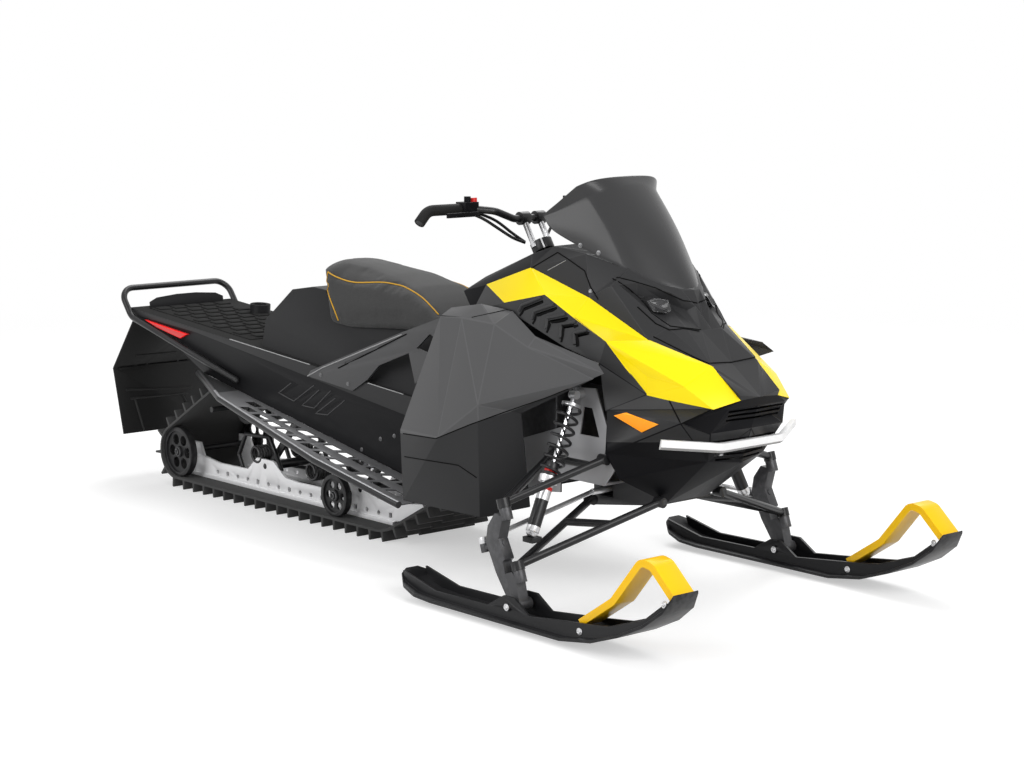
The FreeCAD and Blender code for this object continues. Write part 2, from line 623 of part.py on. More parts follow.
def skin_solid(outer, inner, faces):
    """Closed solid between the outer and inner corners of a set of named faces."""
    parts = triangles(faces)
    edges = {}
    for a, b, c in parts:
        for first, second in ((a, b), (b, c), (c, a)):
            edges[(first, second)] = True
    sheets = []
    for a, b, c in parts:
        sheets.append(flat_face([outer[a], outer[b], outer[c]]))
        sheets.append(flat_face([inner[a], inner[c], inner[b]]))
    for first, second in edges:
        if (second, first) in edges:
            continue
        low, high = sorted((first, second))
        sheets.append(flat_face([outer[low], outer[high], inner[low]]))
        sheets.append(flat_face([outer[high], inner[high], inner[low]]))
    solid = Part.Solid(Part.Shell(sheets))
    if solid.Volume < 0:
        solid.reverse()
    return solid


def whole(half):
    """One solid from the left half of a symmetric skin and its mirror image."""
    return fused([half, mirrored(half)])


COWL_OUTER = {name: cowl_point(share) for name, share in COWL_SHARES.items()}
COWL_FACES = HOOD_FACES + CONSOLE_FACES + YELLOW_FACES + VENT_FACES + FASCIA_FACES + PAN_FACES
COWL_INNER = inner_points(COWL_OUTER, COWL_FACES, SKIN)


PANEL_OUTER = {name: cowl_point(share) for name, share in PANEL_SHARES.items()}
PANEL_INNER = inner_points(PANEL_OUTER, PANEL_FACES, SKIN)


def cowl_panel(faces):
    return skin_solid(COWL_OUTER, COWL_INNER, faces)


def trimming(corners, faces, way):
    """Prisms that run off one way from just before a skin's faces, to cut what ends at that skin."""
    prisms = []
    for names in triangles(faces):
        start = [corners[name] - way * SEAT_GAP for name in names]
        prisms.append(flat_face(start).extrude(way * BODY_LENGTH))
    return prisms


def tower_half():
    """Distance from the centre plane to the inner face of a tower plate."""
    return UPPER_FRONT_SHARES[1] * BODY_HALF - ARM_BUSH_RADIUS - SEAT_GAP - PLATE


def post_point(distance):
    """Point on the raked steering axis, measured up from the risers' base."""
    base = V(POST_BASE_SHARES[0] * BODY_LENGTH, 0, POST_BASE_SHARES[1] * COWL_HEIGHT)
    head = V(POST_HEAD_SHARES[0] * BODY_LENGTH, 0, POST_HEAD_SHARES[1] * COWL_HEIGHT)
    return base + (head - base).normalize() * distance


def kingpin_point(share):
    """Point on the left kingpin axis, 0 at the lower joint and 1 at the upper one."""
    low = V(KINGPIN_LOW_SHARES[0] * BODY_LENGTH, SKI_STANCE / 2, KINGPIN_LOW_SHARES[1] * COWL_HEIGHT)
    top = V(KINGPIN_TOP_SHARES[0] * BODY_LENGTH, SKI_STANCE / 2, KINGPIN_TOP_SHARES[1] * COWL_HEIGHT)
    return low + (top - low) * share


KINGPIN_AXIS = (kingpin_point(1) - kingpin_point(0)).normalize()
KINGPIN_BACK = V(-KINGPIN_AXIS.z, 0, KINGPIN_AXIS.x)


def hood():
    """Faceted mask and deck with a deep lamp pocket under each brow."""
    return whole(cowl_panel(HOOD_FACES))


def headlights():
    """Lamp block in each pocket, from the pocket's floor to just inside its mouth."""
    outline = [V(-BODY_LENGTH / 2, y * BODY_HALF, z * COWL_HEIGHT) for y, z in LENS_SHARES]
    block = slab(outline, V(BODY_LENGTH, 0, 0))
    ahead, behind = V(1, 0, 0), V(-1, 0, 0)
    mouth = {name: point - ahead * LENS_INSET for name, point in COWL_OUTER.items()}
    block = block.cut(trimming(mouth, EYE_MOUTH, ahead))
    return both_sides(block.cut(trimming(COWL_OUTER, EYE_FACES, behind)))


def vent_panel():
    """Panel below the yellow band with its chevron louvres cut through."""
    panel = cowl_panel(VENT_FACES)
    shift = V(1, 0, -1).normalize() * LOUVRE_GAP
    slots = []
    for shares in LOUVRE_SHARES:
        line = side_points(shares)
        slots.append(side_plate(line + [point + shift for point in reversed(line)], 0, BODY_HALF))
    return panel.cut(slots)


def grille_slots(rows):
    """Level slots through the nose, one to each row of height and half width shares."""
    slots = []
    for height_share, half_share in rows:
        half, low = half_share * BODY_HALF, height_share * COWL_HEIGHT
        slots.append(box_between(V(0, -half, low), V(BODY_LENGTH / 2, half, low + GRILLE_SLOT)))
    return slots


def nose_fascia():
    return whole(cowl_panel(FASCIA_FACES)).cut(grille_slots(GRILLE_SHARES))


def belly_pan():
    return whole(cowl_panel(PAN_FACES)).cut(grille_slots(JAW_GRILLE_SHARES))


def console():
    """Centre cover round the steering post, with clearance for the turning post."""
    cover = whole(cowl_panel(CONSOLE_FACES))
    hole = rod(post_point(-POST_LENGTH), post_point(POST_LENGTH), HUB_RADIUS + MOVING_GAP)
    return cover.cut(hole)


def smooth_sheet(rows, thickness):
    """Closed solid of a smooth sheet through rows of points, thickened on the side away from +X."""
    outer = Part.BSplineSurface()
    outer.interpolate(rows)
    inner_rows = []
    for row in rows:
        inner_row = []
        for point in row:
            across, up = outer.parameter(point)
            normal = outer.normal(across, up)
            inner_row.append(point - normal * math.copysign(thickness, normal.x))
        inner_rows.append(inner_row)
    inner = Part.BSplineSurface()
    inner.interpolate(inner_rows)
    faces = [outer.toShape(), inner.toShape()]
    low_u, high_u, low_v, high_v = outer.bounds()
    for name, value in (("uIso", low_u), ("uIso", high_u), ("vIso", low_v), ("vIso", high_v)):
        edges = [getattr(surface, name)(value).toShape() for surface in (outer, inner)]
        faces.append(Part.makeRuledSurface(edges[0], edges[1]))
    shell = Part.makeCompound(faces)
    shell.sewShape(SEAT_GAP)
    solid = Part.Solid(shell.Shells[0])
    if solid.Volume < 0:
        solid.reverse()
    return solid


def windshield():
    """One smooth moulded screen, creased at both corners, whose wings sweep back to their tails."""
    rows = []
    for shares in SHIELD_SHARES:
        left = [cowl_point(share, SEAT_GAP + SKIN) for share in shares]
        rows.append([V(p.x, -p.y, p.z) for p in reversed(left[1:])] + left)
    sheet = smooth_sheet(rows, SKIN)
    return sheet.cut(both_sides(Part.makeCompound(trimming(COWL_OUTER, HOOD_FACES, V(0, 0, -1)))))


def side_panel():
    return skin_solid(PANEL_OUTER, PANEL_INNER, PANEL_FACES)


def tunnel():
    """Folded sheet with an upper rail band outside each wall and the accessory socket on its roof."""
    side = tunnel_points(TUNNEL_SIDE_SHARES)
    walls = side_plate(side, TUNNEL_HALF - SHEET, TUNNEL_HALF)
    band = side_plate(tunnel_points(TUNNEL_BAND_SHARES), TUNNEL_HALF, TUNNEL_HALF + SHEET)
    top = [side[0], side[1], side[1] - V(0, 0, SHEET), side[0] - V(0, 0, SHEET)]
    roof = side_plate(top, -TUNNEL_HALF, TUNNEL_HALF)
    for shares in EMBOSS_SHARES:
        walls = walls.cut(side_plate(tunnel_points(shares), TUNNEL_HALF - EMBOSS_DEPTH, BODY_HALF))
    ring = rod(ring_point(-SHEET / 2), ring_point(RING_HEIGHT), RING_RADIUS)
    ring = ring.cut(rod(ring_point(0), ring_point(RING_HEIGHT + OVERRUN), RING_BORE))
    return fused([roof, walls, mirrored(walls), band, mirrored(band), ring])


def board_edge(share):
    """Distance from the centre plane to a running board's outer edge at a share of the tunnel."""
    for (back, wide), (front, wider) in zip(BOARD_SHARES, BOARD_SHARES[1:]):
        if front <= share <= back:
            reach_share = wide + (wider - wide) * (back - share) / (back - front)
    return TUNNEL_HALF + reach_share * (BODY_HALF - TUNNEL_HALF)


def board_holes():
    """Slanted windows through the left running board, in two staggered rows."""
    first, last = BOARD_HOLE_RUN_SHARES
    count = int((last - first) * TUNNEL_LENGTH / BOARD_HOLE_PITCH)
    holes = []
    for row, row_share in enumerate(BOARD_HOLE_ROWS_SHARE):
        for index in range(count):
            place_share = first + (index + row / 2) * BOARD_HOLE_PITCH / TUNNEL_LENGTH
            room = board_edge(place_share) - TUNNEL_HALF
            middle = TUNNEL_HALF + room * row_share
            near, far = middle - BOARD_HOLE_WIDTH / 2, middle + BOARD_HOLE_WIDTH / 2
            outer = TUNNEL_HALF + room - BOARD_EDGE_RADIUS - BOARD_HOLE_MARGIN
            if far > outer or near < TUNNEL_HALF + BOARD_HOLE_MARGIN:
                continue
            x = tunnel_x(place_share)
            outline = [V(x, near, 0), V(x + BOARD_HOLE_LENGTH, near, 0),
                       V(x + BOARD_HOLE_LENGTH - BOARD_HOLE_SLANT, far, 0), V(x - BOARD_HOLE_SLANT, far, 0)]
            holes.append(slab(outline, V(0, 0, COWL_HEIGHT)))
    return holes


def running_board():
    """Sloping footboard outside the left tunnel wall with windows and a rolled outer edge."""
    edge = [V(tunnel_x(x), board_edge(x), board_height(x)) for x, _ in BOARD_SHARES]
    first, last = BOARD_SHARES[0][0], BOARD_SHARES[-1][0]
    inner = [V(tunnel_x(share), TUNNEL_HALF, board_height(share)) for share in (last, first)]
    plate = slab(edge + inner, V(0, 0, -SHEET)).cut(board_holes())
    roll = bent_tube(edge, BOARD_EDGE_RADIUS, BOARD_EDGE_BEND)
    wall = side_plate(tunnel_points(TUNNEL_SIDE_SHARES), 0, TUNNEL_HALF + SHEET)
    return fused([plate, roll]).cut(wall)


def rear_bumper():
    across = TUNNEL_HALF + SHEET + BUMPER_RADIUS
    left = [V(tunnel_x(x), y * across, z * COWL_HEIGHT) for x, y, z in REAR_BUMPER_SHARES]
    right = [V(p.x, -p.y, p.z) for p in reversed(left)]
    return bent_tube(left + right, BUMPER_RADIUS, BUMPER_BEND)


def snow_flap():
    """Thick rubber flap hanging from the tail, ribbed on its front face."""
    top_share, top_width_share = FLAP_TOP_SHARES
    rows = [V(tunnel_x(top_share), top_width_share * TUNNEL_HALF, roof_height(top_share) - SHEET - SEAT_GAP)]
    for x, y, z in (FLAP_KNEE_SHARES, FLAP_FOOT_SHARES):
        rows.append(V(tunnel_x(x), y * TUNNEL_HALF, z * COWL_HEIGHT))
    sheets = []
    for upper, lower in zip(rows, rows[1:]):
        outline = [upper, lower, V(lower.x, -lower.y, lower.z), V(upper.x, -upper.y, upper.z)]
        sheets.append(slab(outline, V(-FLAP_THICKNESS, 0, 0)))
    return fused(sheets + flap_ribs(rows[1], rows[2]))


def flap_ribs(knee, foot):
    """Cross ribs and uprights on the front of the flap's lower panel, given its left corners."""
    drop = V(foot.x - knee.x, 0, foot.z - knee.z)
    top = V(knee.x, 0, knee.z)
    half = foot.y - FLAP_RIB_WIDTH
    band = drop.normalize() * FLAP_RIB_WIDTH
    bands = [(top + drop * share, -half, half, band) for share in FLAP_RIB_SHARES]
    start = FLAP_RIB_SHARES[-1]
    for share in FLAP_SIDE_RIB_SHARES:
        near, far = share * half, share * half + FLAP_RIB_WIDTH
        bands += [(top + drop * start, near, far, drop * (1 - start) - band),
                  (top + drop * start, -far, -near, drop * (1 - start) - band)]
    ribs = []
    for place, right, left, fall in bands:
        outline = [place + V(0, right, 0), place + V(0, left, 0), place + V(0, left, 0) + fall,
                   place + V(0, right, 0) + fall]
        ribs.append(slab(outline, V(FLAP_RIB_HEIGHT, 0, 0)))
    return ribs


def tail_lamps():
    outline = tunnel_points(LAMP_SHARES)
    lamp = side_plate(outline, TUNNEL_HALF, TUNNEL_HALF + SHEET + LAMP_DEPTH)
    return both_sides(lamp.cut(side_plate(tunnel_points(TUNNEL_BAND_SHARES), 0, TUNNEL_HALF + SHEET)))


def tapered(side, foot_share, crown_share):
    """Side outline swept across the machine, narrower at its top than at its foot."""
    low = min(p.z for p in side)
    high = max(p.z for p in side)
    body = side_plate(side, -TUNNEL_HALF, TUNNEL_HALF)
    front, back = tunnel_x(0), tunnel_x(1)
    foot, crown = foot_share * TUNNEL_HALF, crown_share * TUNNEL_HALF
    taper = slab([V(back, -foot, low), V(back, foot, low), V(back, crown, high),
                  V(back, -crown, high)], V(front - back, 0, 0))
    return body.common(taper)


def seat_base():
    """Moulded base under the saddle, with its low bump behind."""
    foot_share, crown_share = 0.97, 0.60
    body = tapered(tunnel_points(SEAT_BASE_SHARES), foot_share, crown_share)
    tunnel_top = side_plate(tunnel_points(TUNNEL_SIDE_SHARES), -TUNNEL_HALF, TUNNEL_HALF)
    cushion = seat_cushion()
    return body.cut(tunnel_top).cut(cushion).cut(cushion.translated(V(0, 0, -SEAT_GAP)))


def seat_cushion():
    """Soft saddle, narrower at the top than at its foot."""
    foot_share, crown_share = 0.84, 0.55
    return tapered(tunnel_points(CUSHION_SIDE_SHARES), foot_share, crown_share)


def side_brace():
    """Plate from the tunnel up to the vent panel, with its open window and the side panel's clips."""
    near = TUNNEL_HALF + SHEET
    plate = side_plate(side_points(BRACE_SHARES), near, near + BRACE_DEPTH)
    window = side_plate(side_points(BRACE_WINDOW_SHARES), 0, BODY_HALF)
    room = trimming(PANEL_INNER, PANEL_FACES, V(0, 1, 0))
    clips = [cross_rod(p.x, p.z, near, BODY_HALF, CLIP_RADIUS).cut(room)
             for p in side_points(BRACE_CLIP_SHARES)]
    vent = trimming(COWL_INNER, VENT_FACES, V(0, 1, 0))
    groove = side_plate(side_points(GROOVE_SHARES), near + BRACE_DEPTH - GROOVE_DEPTH, BODY_HALF)
    return fused([plate.cut([window, groove]).cut(vent)] + clips)


def front_bumper():
    """Flat nose bar, chamfered below, on two stand-offs that end at the grille panel."""
    left = [cowl_point(share) for share in FRONT_BUMPER_SHARES]
    right = [V(p.x, -p.y, p.z) for p in reversed(left)]
    start = left[0]
    out = V(left[1].y - start.y, start.x - left[1].x, 0).normalize() * -FRONT_BAR_DEPTH
    tall = V(0, 0, FRONT_BAR_HEIGHT)
    rise = V(0, 0, FRONT_BAR_CHAMFER)
    tuck = out * (FRONT_BAR_CHAMFER / FRONT_BAR_DEPTH)
    section = [start - out / 2, start + out / 2 - tuck, start + out / 2 + rise, start + out / 2 + tall,
               start - out / 2 + tall]
    section = [point - tall / 2 for point in section]
    path = bent_path(left + right, FRONT_BUMPER_BEND)
    bar = path.makePipeShell([Part.makePolygon(section + section[:1])], True, False)
    body = trimming(COWL_OUTER, FASCIA_FACES[2:] + PAN_FACES[:3], V(-1, 0, 0))
    corner = left[-1]
    stand_off = rod(corner, corner - V(BODY_HALF / 2, 0, 0), STAND_OFF_RADIUS).cut(body)
    return fused([bar, stand_off, mirrored(stand_off)])


def side_reflectors():
    side = side_points(REFLECTOR_SHARES)
    prism = side_plate(side, 0, BODY_HALF)
    lifted = {name: point + V(0, REFLECTOR_DEPTH + SEAT_GAP, 0) for name, point in COWL_OUTER.items()}
    seat = {name: point + V(0, SEAT_GAP, 0) for name, point in COWL_OUTER.items()}
    faces = [("yellow_foot", "fender_foot", "fender_line", "yellow_corner"),
             ("fender_foot", "jaw_edge", "jaw_side", "fender_line")]
    return both_sides(skin_solid(lifted, seat, faces).common(prism))


def front_frame():
    """Tower plates, keel box, engine cradle and the tube pyramid that carries the steering bearing."""
    inner_y = tower_half()
    outer_y = inner_y + PLATE
    plate = side_plate(side_points(TOWER_SHARES), inner_y, outer_y)
    plate = plate.cut(side_plate(side_points(TOWER_HOLE_SHARES), 0, BODY_HALF))
    cradle = side_plate(side_points(CRADLE_SHARES), inner_y, outer_y)
    floor_front, floor_rear, floor_height = FLOOR_SHARES
    floor = box_between(V(floor_rear * BODY_LENGTH, -outer_y, floor_height * COWL_HEIGHT),
                        V(floor_front * BODY_LENGTH, outer_y, floor_height * COWL_HEIGHT + FRAME_FLOOR))
    half = fused([plate, cradle, shock_horn()])
    return fused([half, mirrored(half), keel_box(), floor, engine_floor(), steering_pyramid()])


def shock_horn():
    """Boss on the tower plate that carries the shock's upper eye."""
    eye = cowl_point(SHOCK_TOP_SHARES)
    near = tower_half()
    return rod(V(eye.x, near, eye.z), V(eye.x, eye.y - SHOCK_EYE_RADIUS - SEAT_GAP, eye.z), SHOCK_EYE_RADIUS)


def keel_box():
    """Box between the lower arms' bushes, with the tie link's window and the belly pan's lug."""
    keel_y = LOWER_FRONT_SHARES[1] * BODY_HALF - ARM_BUSH_RADIUS - SEAT_GAP
    corners = side_points(KEEL_BOX_SHARES)
    keel = side_plate(corners, -keel_y, keel_y)
    nose = corners[2]
    lug = box_between(V(nose.x - NOSE_LUG_REACH, -NOSE_LUG_WIDTH / 2, nose.z - NOSE_LUG_HEIGHT),
                      V(nose.x + NOSE_LUG_REACH, NOSE_LUG_WIDTH / 2, nose.z))
    pan = trimming(COWL_INNER, PAN_FACES[3:4], V(1, 0, 0))
    lug = lug.cut(pan + [mirrored(room) for room in pan])
    window = side_plate(side_points(TIE_WINDOW_SHARES), -BODY_HALF, BODY_HALF)
    return fused([keel, lug]).cut(window)


def engine_floor():
    """Cradle floor that carries the engine between the cradle's side plates."""
    front_share, foot_share = ENGINE_SHARES[0], ENGINE_SHARES[2]
    foot = foot_share * COWL_HEIGHT
    low = V(tunnel_x(TUNNEL_SIDE_SHARES[0][0]) + CRADLE_GAP, -tower_half(), foot - SHEET)
    return box_between(low, V(front_share * BODY_LENGTH, tower_half(), foot))


def steering_pyramid():
    """Four tubes from the tower plates and the side braces up to the post's lower bearing."""
    bearing = rod(post_point(-POST_LENGTH), post_point(POST_BEARING_LENGTH - POST_LENGTH),
                  POST_BEARING_RADIUS)
    head = post_point(POST_BEARING_LENGTH / 2 - POST_LENGTH)
    tower_top = side_points(TOWER_SHARES)[0]
    front = V(tower_top.x, tower_half() + PLATE / 2, tower_top.z - FRAME_TUBE_RADIUS)
    clip = side_points(BRACE_CLIP_SHARES)[1]
    side = TUNNEL_HALF + SHEET
    rear = V(clip.x, side, clip.z)
    beyond = rear + (rear - head).normalize() * FRAME_TUBE_RADIUS
    rear_leg = rod(beyond, head, FRAME_TUBE_RADIUS)
    rear_leg = rear_leg.cut(box_between(V(-BODY_LENGTH, side, 0), V(0, BODY_LENGTH, COWL_HEIGHT)))
    legs = fused([rod(front, head, FRAME_TUBE_RADIUS), rear_leg])
    bore = rod(post_point(-POST_LENGTH * 2), post_point(0), POST_RADIUS + RUNNING_FIT)
    return fused([bearing, legs, mirrored(legs)]).cut(bore)


def engine_block():
    half = tower_half() - SEAT_GAP
    front_share, rear_share, foot_share, top_share = ENGINE_SHARES
    return box_between(V(rear_share * BODY_LENGTH, -half, foot_share * COWL_HEIGHT + SEAT_GAP),
                       V(front_share * BODY_LENGTH, half, top_share * COWL_HEIGHT))


def to_side(point, side):
    """The point itself for side 1, its mirror image on the right for side -1."""
    return V(point.x, point.y * side, point.z)


def joint_rod(share, side, half_length, radius):
    """Round bar on the kingpin axis, centred on one ball joint."""
    middle = to_side(kingpin_point(share), side)
    return rod(middle - KINGPIN_AXIS * half_length, middle + KINGPIN_AXIS * half_length, radius)


def swing_arm(pivot_shares, joint_share, cross_share, side):
    """Two tubes from the inner bushes to one ball joint housing, with a cross tube."""
    outer = to_side(kingpin_point(joint_share), side)
    pieces = [joint_rod(joint_share, side, JOINT_HOUSING_HEIGHT / 2, JOINT_HOUSING_RADIUS)]
    crossings = []
    for share in pivot_shares:
        pivot = to_side(cowl_point(share), side)
        half = V(ARM_BUSH_LENGTH / 2, 0, 0)
        pieces.append(rod(pivot - half, pivot + half, ARM_BUSH_RADIUS))
        pieces.append(rod(pivot, outer, ARM_TUBE_RADIUS))
        crossings.append(pivot + (outer - pivot) * cross_share)
    pieces.append(rod(crossings[0], crossings[1], ARM_TUBE_RADIUS))
    bore = joint_rod(joint_share, side, JOINT_HOUSING_HEIGHT, BALL_STUD_RADIUS + RUNNING_FIT)
    return fused(pieces).cut(bore)


def upper_arms():
    pivots = (UPPER_FRONT_SHARES, UPPER_REAR_SHARES)
    return Part.makeCompound([swing_arm(pivots, 1, UPPER_CROSS_SHARE, side) for side in (1, -1)])


def lower_arms():
    """Lower arms, each with the bracket under its shock's lower eye."""
    pivots = (LOWER_FRONT_SHARES, LOWER_REAR_SHARES)
    eye = cowl_point(SHOCK_FOOT_SHARES)
    seat = eye.z - SHOCK_EYE_RADIUS - SEAT_GAP
    bracket = box_between(V(eye.x - SHOCK_BRACKET_WIDTH / 2, eye.y - SHOCK_BRACKET_DEPTH / 2,
                            seat - ARM_BUSH_RADIUS),
                          V(eye.x + SHOCK_BRACKET_WIDTH / 2, eye.y + SHOCK_BRACKET_DEPTH / 2, seat))
    left = fused([swing_arm(pivots, 0, LOWER_CROSS_SHARE, 1), bracket])
    right = fused([swing_arm(pivots, 0, LOWER_CROSS_SHARE, -1), mirrored(bracket)])
    return Part.makeCompound([left, right])


def shock_point(share):
    top, foot = cowl_point(SHOCK_TOP_SHARES), cowl_point(SHOCK_FOOT_SHARES)
    return top + (foot - top) * share


def front_shock():
    """Damper body below, shaft above, an eye at each end and the spring's two seats."""
    shaft_share = 0.50
    cap_share, seat_share = SPRING_SEAT_SHARES
    pieces = [rod(shock_point(0), shock_point(shaft_share), SHOCK_SHAFT_RADIUS)]
    pieces.append(rod(shock_point(shaft_share), shock_point(1), SHOCK_BODY_RADIUS - SKIN))
    along = (shock_point(1) - shock_point(0)).normalize()
    seat = shock_point(seat_share)
    pieces.append(rod(seat, seat + along * SHOCK_COLLAR_HEIGHT, SHOCK_COLLAR_RADIUS))
    cap = shock_point(cap_share)
    pieces.append(rod(cap - along * SHOCK_CAP_HEIGHT, cap, SHOCK_COLLAR_RADIUS))
    for end in (shock_point(0), shock_point(1)):
        half = V(SHOCK_EYE_WIDTH / 2, 0, 0)
        pieces.append(rod(end - half, end + half, SHOCK_EYE_RADIUS))
    return fused(pieces)


def front_shocks():
    return both_sides(front_shock())


def front_springs():
    """Round-wire coils between the shocks' caps and collars."""
    cap_share, collar_share = SPRING_SEAT_SHARES
    along = (shock_point(1) - shock_point(0)).normalize()
    inset = SPRING_WIRE + SEAT_GAP
    start = shock_point(cap_share) + along * inset
    height = (shock_point(collar_share) - shock_point(cap_share)).Length - 2 * inset
    helix = Part.makeHelix(height / SPRING_TURNS, height, SPRING_RADIUS)
    section = Part.Wire([Part.makeCircle(SPRING_WIRE, V(SPRING_RADIUS, 0, 0), V(0, 1, 0))])
    coil = Part.Wire(helix.Edges).makePipeShell([section], True, True)
    coil.Placement = FreeCAD.Placement(start, FreeCAD.Rotation(V(0, 0, 1), along))
    return both_sides(coil)


def spindle():
    """Forged upright from the upper joint down to the ski bolt, with its steering arm."""
    centre = SKI_STANCE / 2
    web = side_plate(side_points(SPINDLE_SHARES), centre - SPINDLE_WIDTH / 2, centre + SPINDLE_WIDTH / 2)
    foot = cross_rod(0, SKI_BOLT_HEIGHT, centre - SPINDLE_FOOT_WIDTH / 2,
                     centre + SPINDLE_FOOT_WIDTH / 2, SPINDLE_FOOT_RADIUS)
    bore = cross_rod(0, SKI_BOLT_HEIGHT, centre - SPINDLE_FOOT_WIDTH, centre + SPINDLE_FOOT_WIDTH,
                     SKI_BOLT_RADIUS + RUNNING_FIT)
    half = JOINT_HOUSING_HEIGHT / 2
    pieces = [web, foot]
    rooms = []
    boss_share = 0.27
    for share in (0, 1):
        seat = kingpin_point(share) - KINGPIN_AXIS * (half + JOINT_SEAT)
        pieces.append(rod(kingpin_point(share - boss_share), seat, SPINDLE_BOSS_RADIUS))
        stud_top = kingpin_point(share) + KINGPIN_AXIS * half
        pieces.append(rod(seat, stud_top, BALL_STUD_RADIUS))
        room = rod(seat, stud_top + KINGPIN_AXIS * MOVING_GAP, JOINT_ROOM_RADIUS)
        rooms.append(room.cut(rod(seat, stud_top, BALL_STUD_RADIUS)))
    pad = steer_arm_pad()
    root = kingpin_point(STEER_ARM_SHARE) + KINGPIN_BACK * STEER_ARM_ROOT
    pieces.append(rod(root, pad, STEER_ARM_RADIUS))
    pieces.append(rod(pad - KINGPIN_AXIS * STEER_ARM_DEPTH, pad + KINGPIN_AXIS * STEER_ARM_DEPTH,
                      TIE_EYE_RADIUS))
    body = fused(pieces)
    for room in rooms:
        body = body.cut(room)
    return body.cut(bore)


def steer_arm_pad():
    """Centre of the steering arm's eye, behind the kingpin."""
    return kingpin_point(STEER_ARM_SHARE) + KINGPIN_BACK * STEER_ARM


def tie_rods():
    """Two rods and the link between their inner ends, with an eye above each steering arm."""
    seat = steer_arm_pad() + KINGPIN_AXIS * (STEER_ARM_DEPTH + JOINT_SEAT)
    eye = rod(seat, seat + KINGPIN_AXIS * TIE_EYE_HEIGHT, TIE_EYE_RADIUS)
    outer = seat + KINGPIN_AXIS * (TIE_EYE_HEIGHT / 2)
    inner = cowl_point((TIE_INNER_SHARES[0], 0, TIE_INNER_SHARES[1])) + V(0, TIE_INNER_Y, 0)
    tube = rod(inner, outer, TIE_ROD_RADIUS)
    link = rod(V(inner.x, -TIE_INNER_Y, inner.z), inner, TIE_LINK_RADIUS)
    return fused([eye, mirrored(eye), tube, mirrored(tube), link])


def ski_points(shares):
    return [V(x * SKI_LENGTH, 0, z * SKI_HEIGHT) for x, z in shares]


def ski():
    """Moulded plastic ski: curved sole, two walls, keel and the bolt through its saddle."""
    centre = SKI_STANCE / 2
    sole = ski_points(SKI_SOLE_SHARES)
    upper = [p + V(0, 0, SKI_SHELL) for p in reversed(sole)]
    plate = side_plate(sole + upper, centre - SKI_WIDTH / 2, centre + SKI_WIDTH / 2)
    plan = [V(x * SKI_LENGTH, y * SKI_WIDTH / 2, 0) for x, y in SKI_PLAN_SHARES]
    plan += [V(p.x, -p.y, 0) for p in reversed(plan)]
    plate = plate.common(slab([p + V(0, centre, 0) for p in plan], V(0, 0, SKI_LENGTH)))
    rail = side_plate(sole[1:-1] + list(reversed(ski_points(SKI_RAIL_SHARES))), 0, SKI_WALL)
    reach = SKI_WALL_SPACING / 2
    walls = [rail.translated(V(0, centre + reach, 0)), rail.translated(V(0, centre - reach - SKI_WALL, 0))]
    keel_top = sole[3].z + OVERRUN
    keel_shares = [(-0.285, 1.0), (-0.275, 0.0), (0.205, 0.0), (0.215, 1.0)]
    keel_points = [V(x * SKI_LENGTH, 0, WEAR_BAR_HEIGHT + z * (keel_top - WEAR_BAR_HEIGHT))
                   for x, z in keel_shares]
    keel = side_plate(keel_points, centre - KEEL_WIDTH / 2, centre + KEEL_WIDTH / 2)
    bolt_half = reach + SKI_WALL
    bolt = cross_rod(0, SKI_BOLT_HEIGHT, centre - bolt_half, centre + bolt_half, SKI_BOLT_RADIUS)
    heads = [cross_rod(0, SKI_BOLT_HEIGHT, centre + side * bolt_half,
                       centre + side * (bolt_half + SKI_BOLT_HEAD_DEPTH), SKI_BOLT_HEAD)
             for side in (-1, 1)]
    return fused([plate, keel, bolt] + walls + heads)


def wear_bar():
    """Steel runner under the keel."""
    centre = SKI_STANCE / 2
    start_share, end_share = -0.25, 0.19
    return box_between(V(start_share * SKI_LENGTH, centre - WEAR_BAR_WIDTH / 2, 0),
                       V(end_share * SKI_LENGTH, centre + WEAR_BAR_WIDTH / 2, WEAR_BAR_HEIGHT))


def ski_loop():
    """Moulded handle bent over the front of the ski, between its two walls."""
    centre = SKI_STANCE / 2
    width = SKI_WALL_SPACING - 2 * SEAT_GAP
    points = ski_points(LOOP_SHARES)
    corner = V(points[0].x, centre - width / 2, points[0].z)
    start, following = points[0], points[1]
    across = (following - start).normalize().cross(V(0, 1, 0)) * (LOOP_DEPTH / 2)
    section = [corner + across, corner - across,
               corner - across + V(0, width, 0), corner + across + V(0, width, 0)]
    path = bent_path([p + V(0, centre, 0) for p in points], LOOP_CORNER)
    loop = path.makePipeShell([Part.makePolygon(section + section[:1])], True, False)
    sole = ski_points(SKI_SOLE_SHARES)
    below = sole + [V(sole[-1].x, 0, -SKI_HEIGHT), V(sole[0].x, 0, -SKI_HEIGHT)]
    return loop.cut([ski(), side_plate(below, 0, SKI_STANCE)])


def bar_points():
    left = [cowl_point(share) for share in BAR_SHARES]
    return [V(p.x, -p.y, p.z) for p in reversed(left[1:])] + left


def handlebar():
    """Bent bar, clamp, two risers, hub and the steering post below."""
    bar = bent_tube(bar_points(), BAR_RADIUS, BAR_BEND)
    head = cowl_point(BAR_SHARES[0])
    pieces = [bar]
    for side in (-1, 1):
        across = V(0, side * RISER_SPACING / 2, 0)
        pieces.append(rod(post_point(0) + across, head + across, RISER_RADIUS))
        half = V(0, CLAMP_WIDTH / 2, 0)
        pieces.append(rod(head + across - half, head + across + half, CLAMP_RADIUS))
    pieces.append(rod(post_point(-HUB_DEPTH), post_point(HUB_DEPTH), HUB_RADIUS))
    pieces.append(rod(post_point(-POST_LENGTH), post_point(0), POST_RADIUS))
    return fused(pieces)


def grip_cutter():
    start = GRIP_START_SHARE * BODY_HALF
    return box_between(V(-BODY_LENGTH, start, 0), V(0, BODY_LENGTH, COWL_HEIGHT * 2))


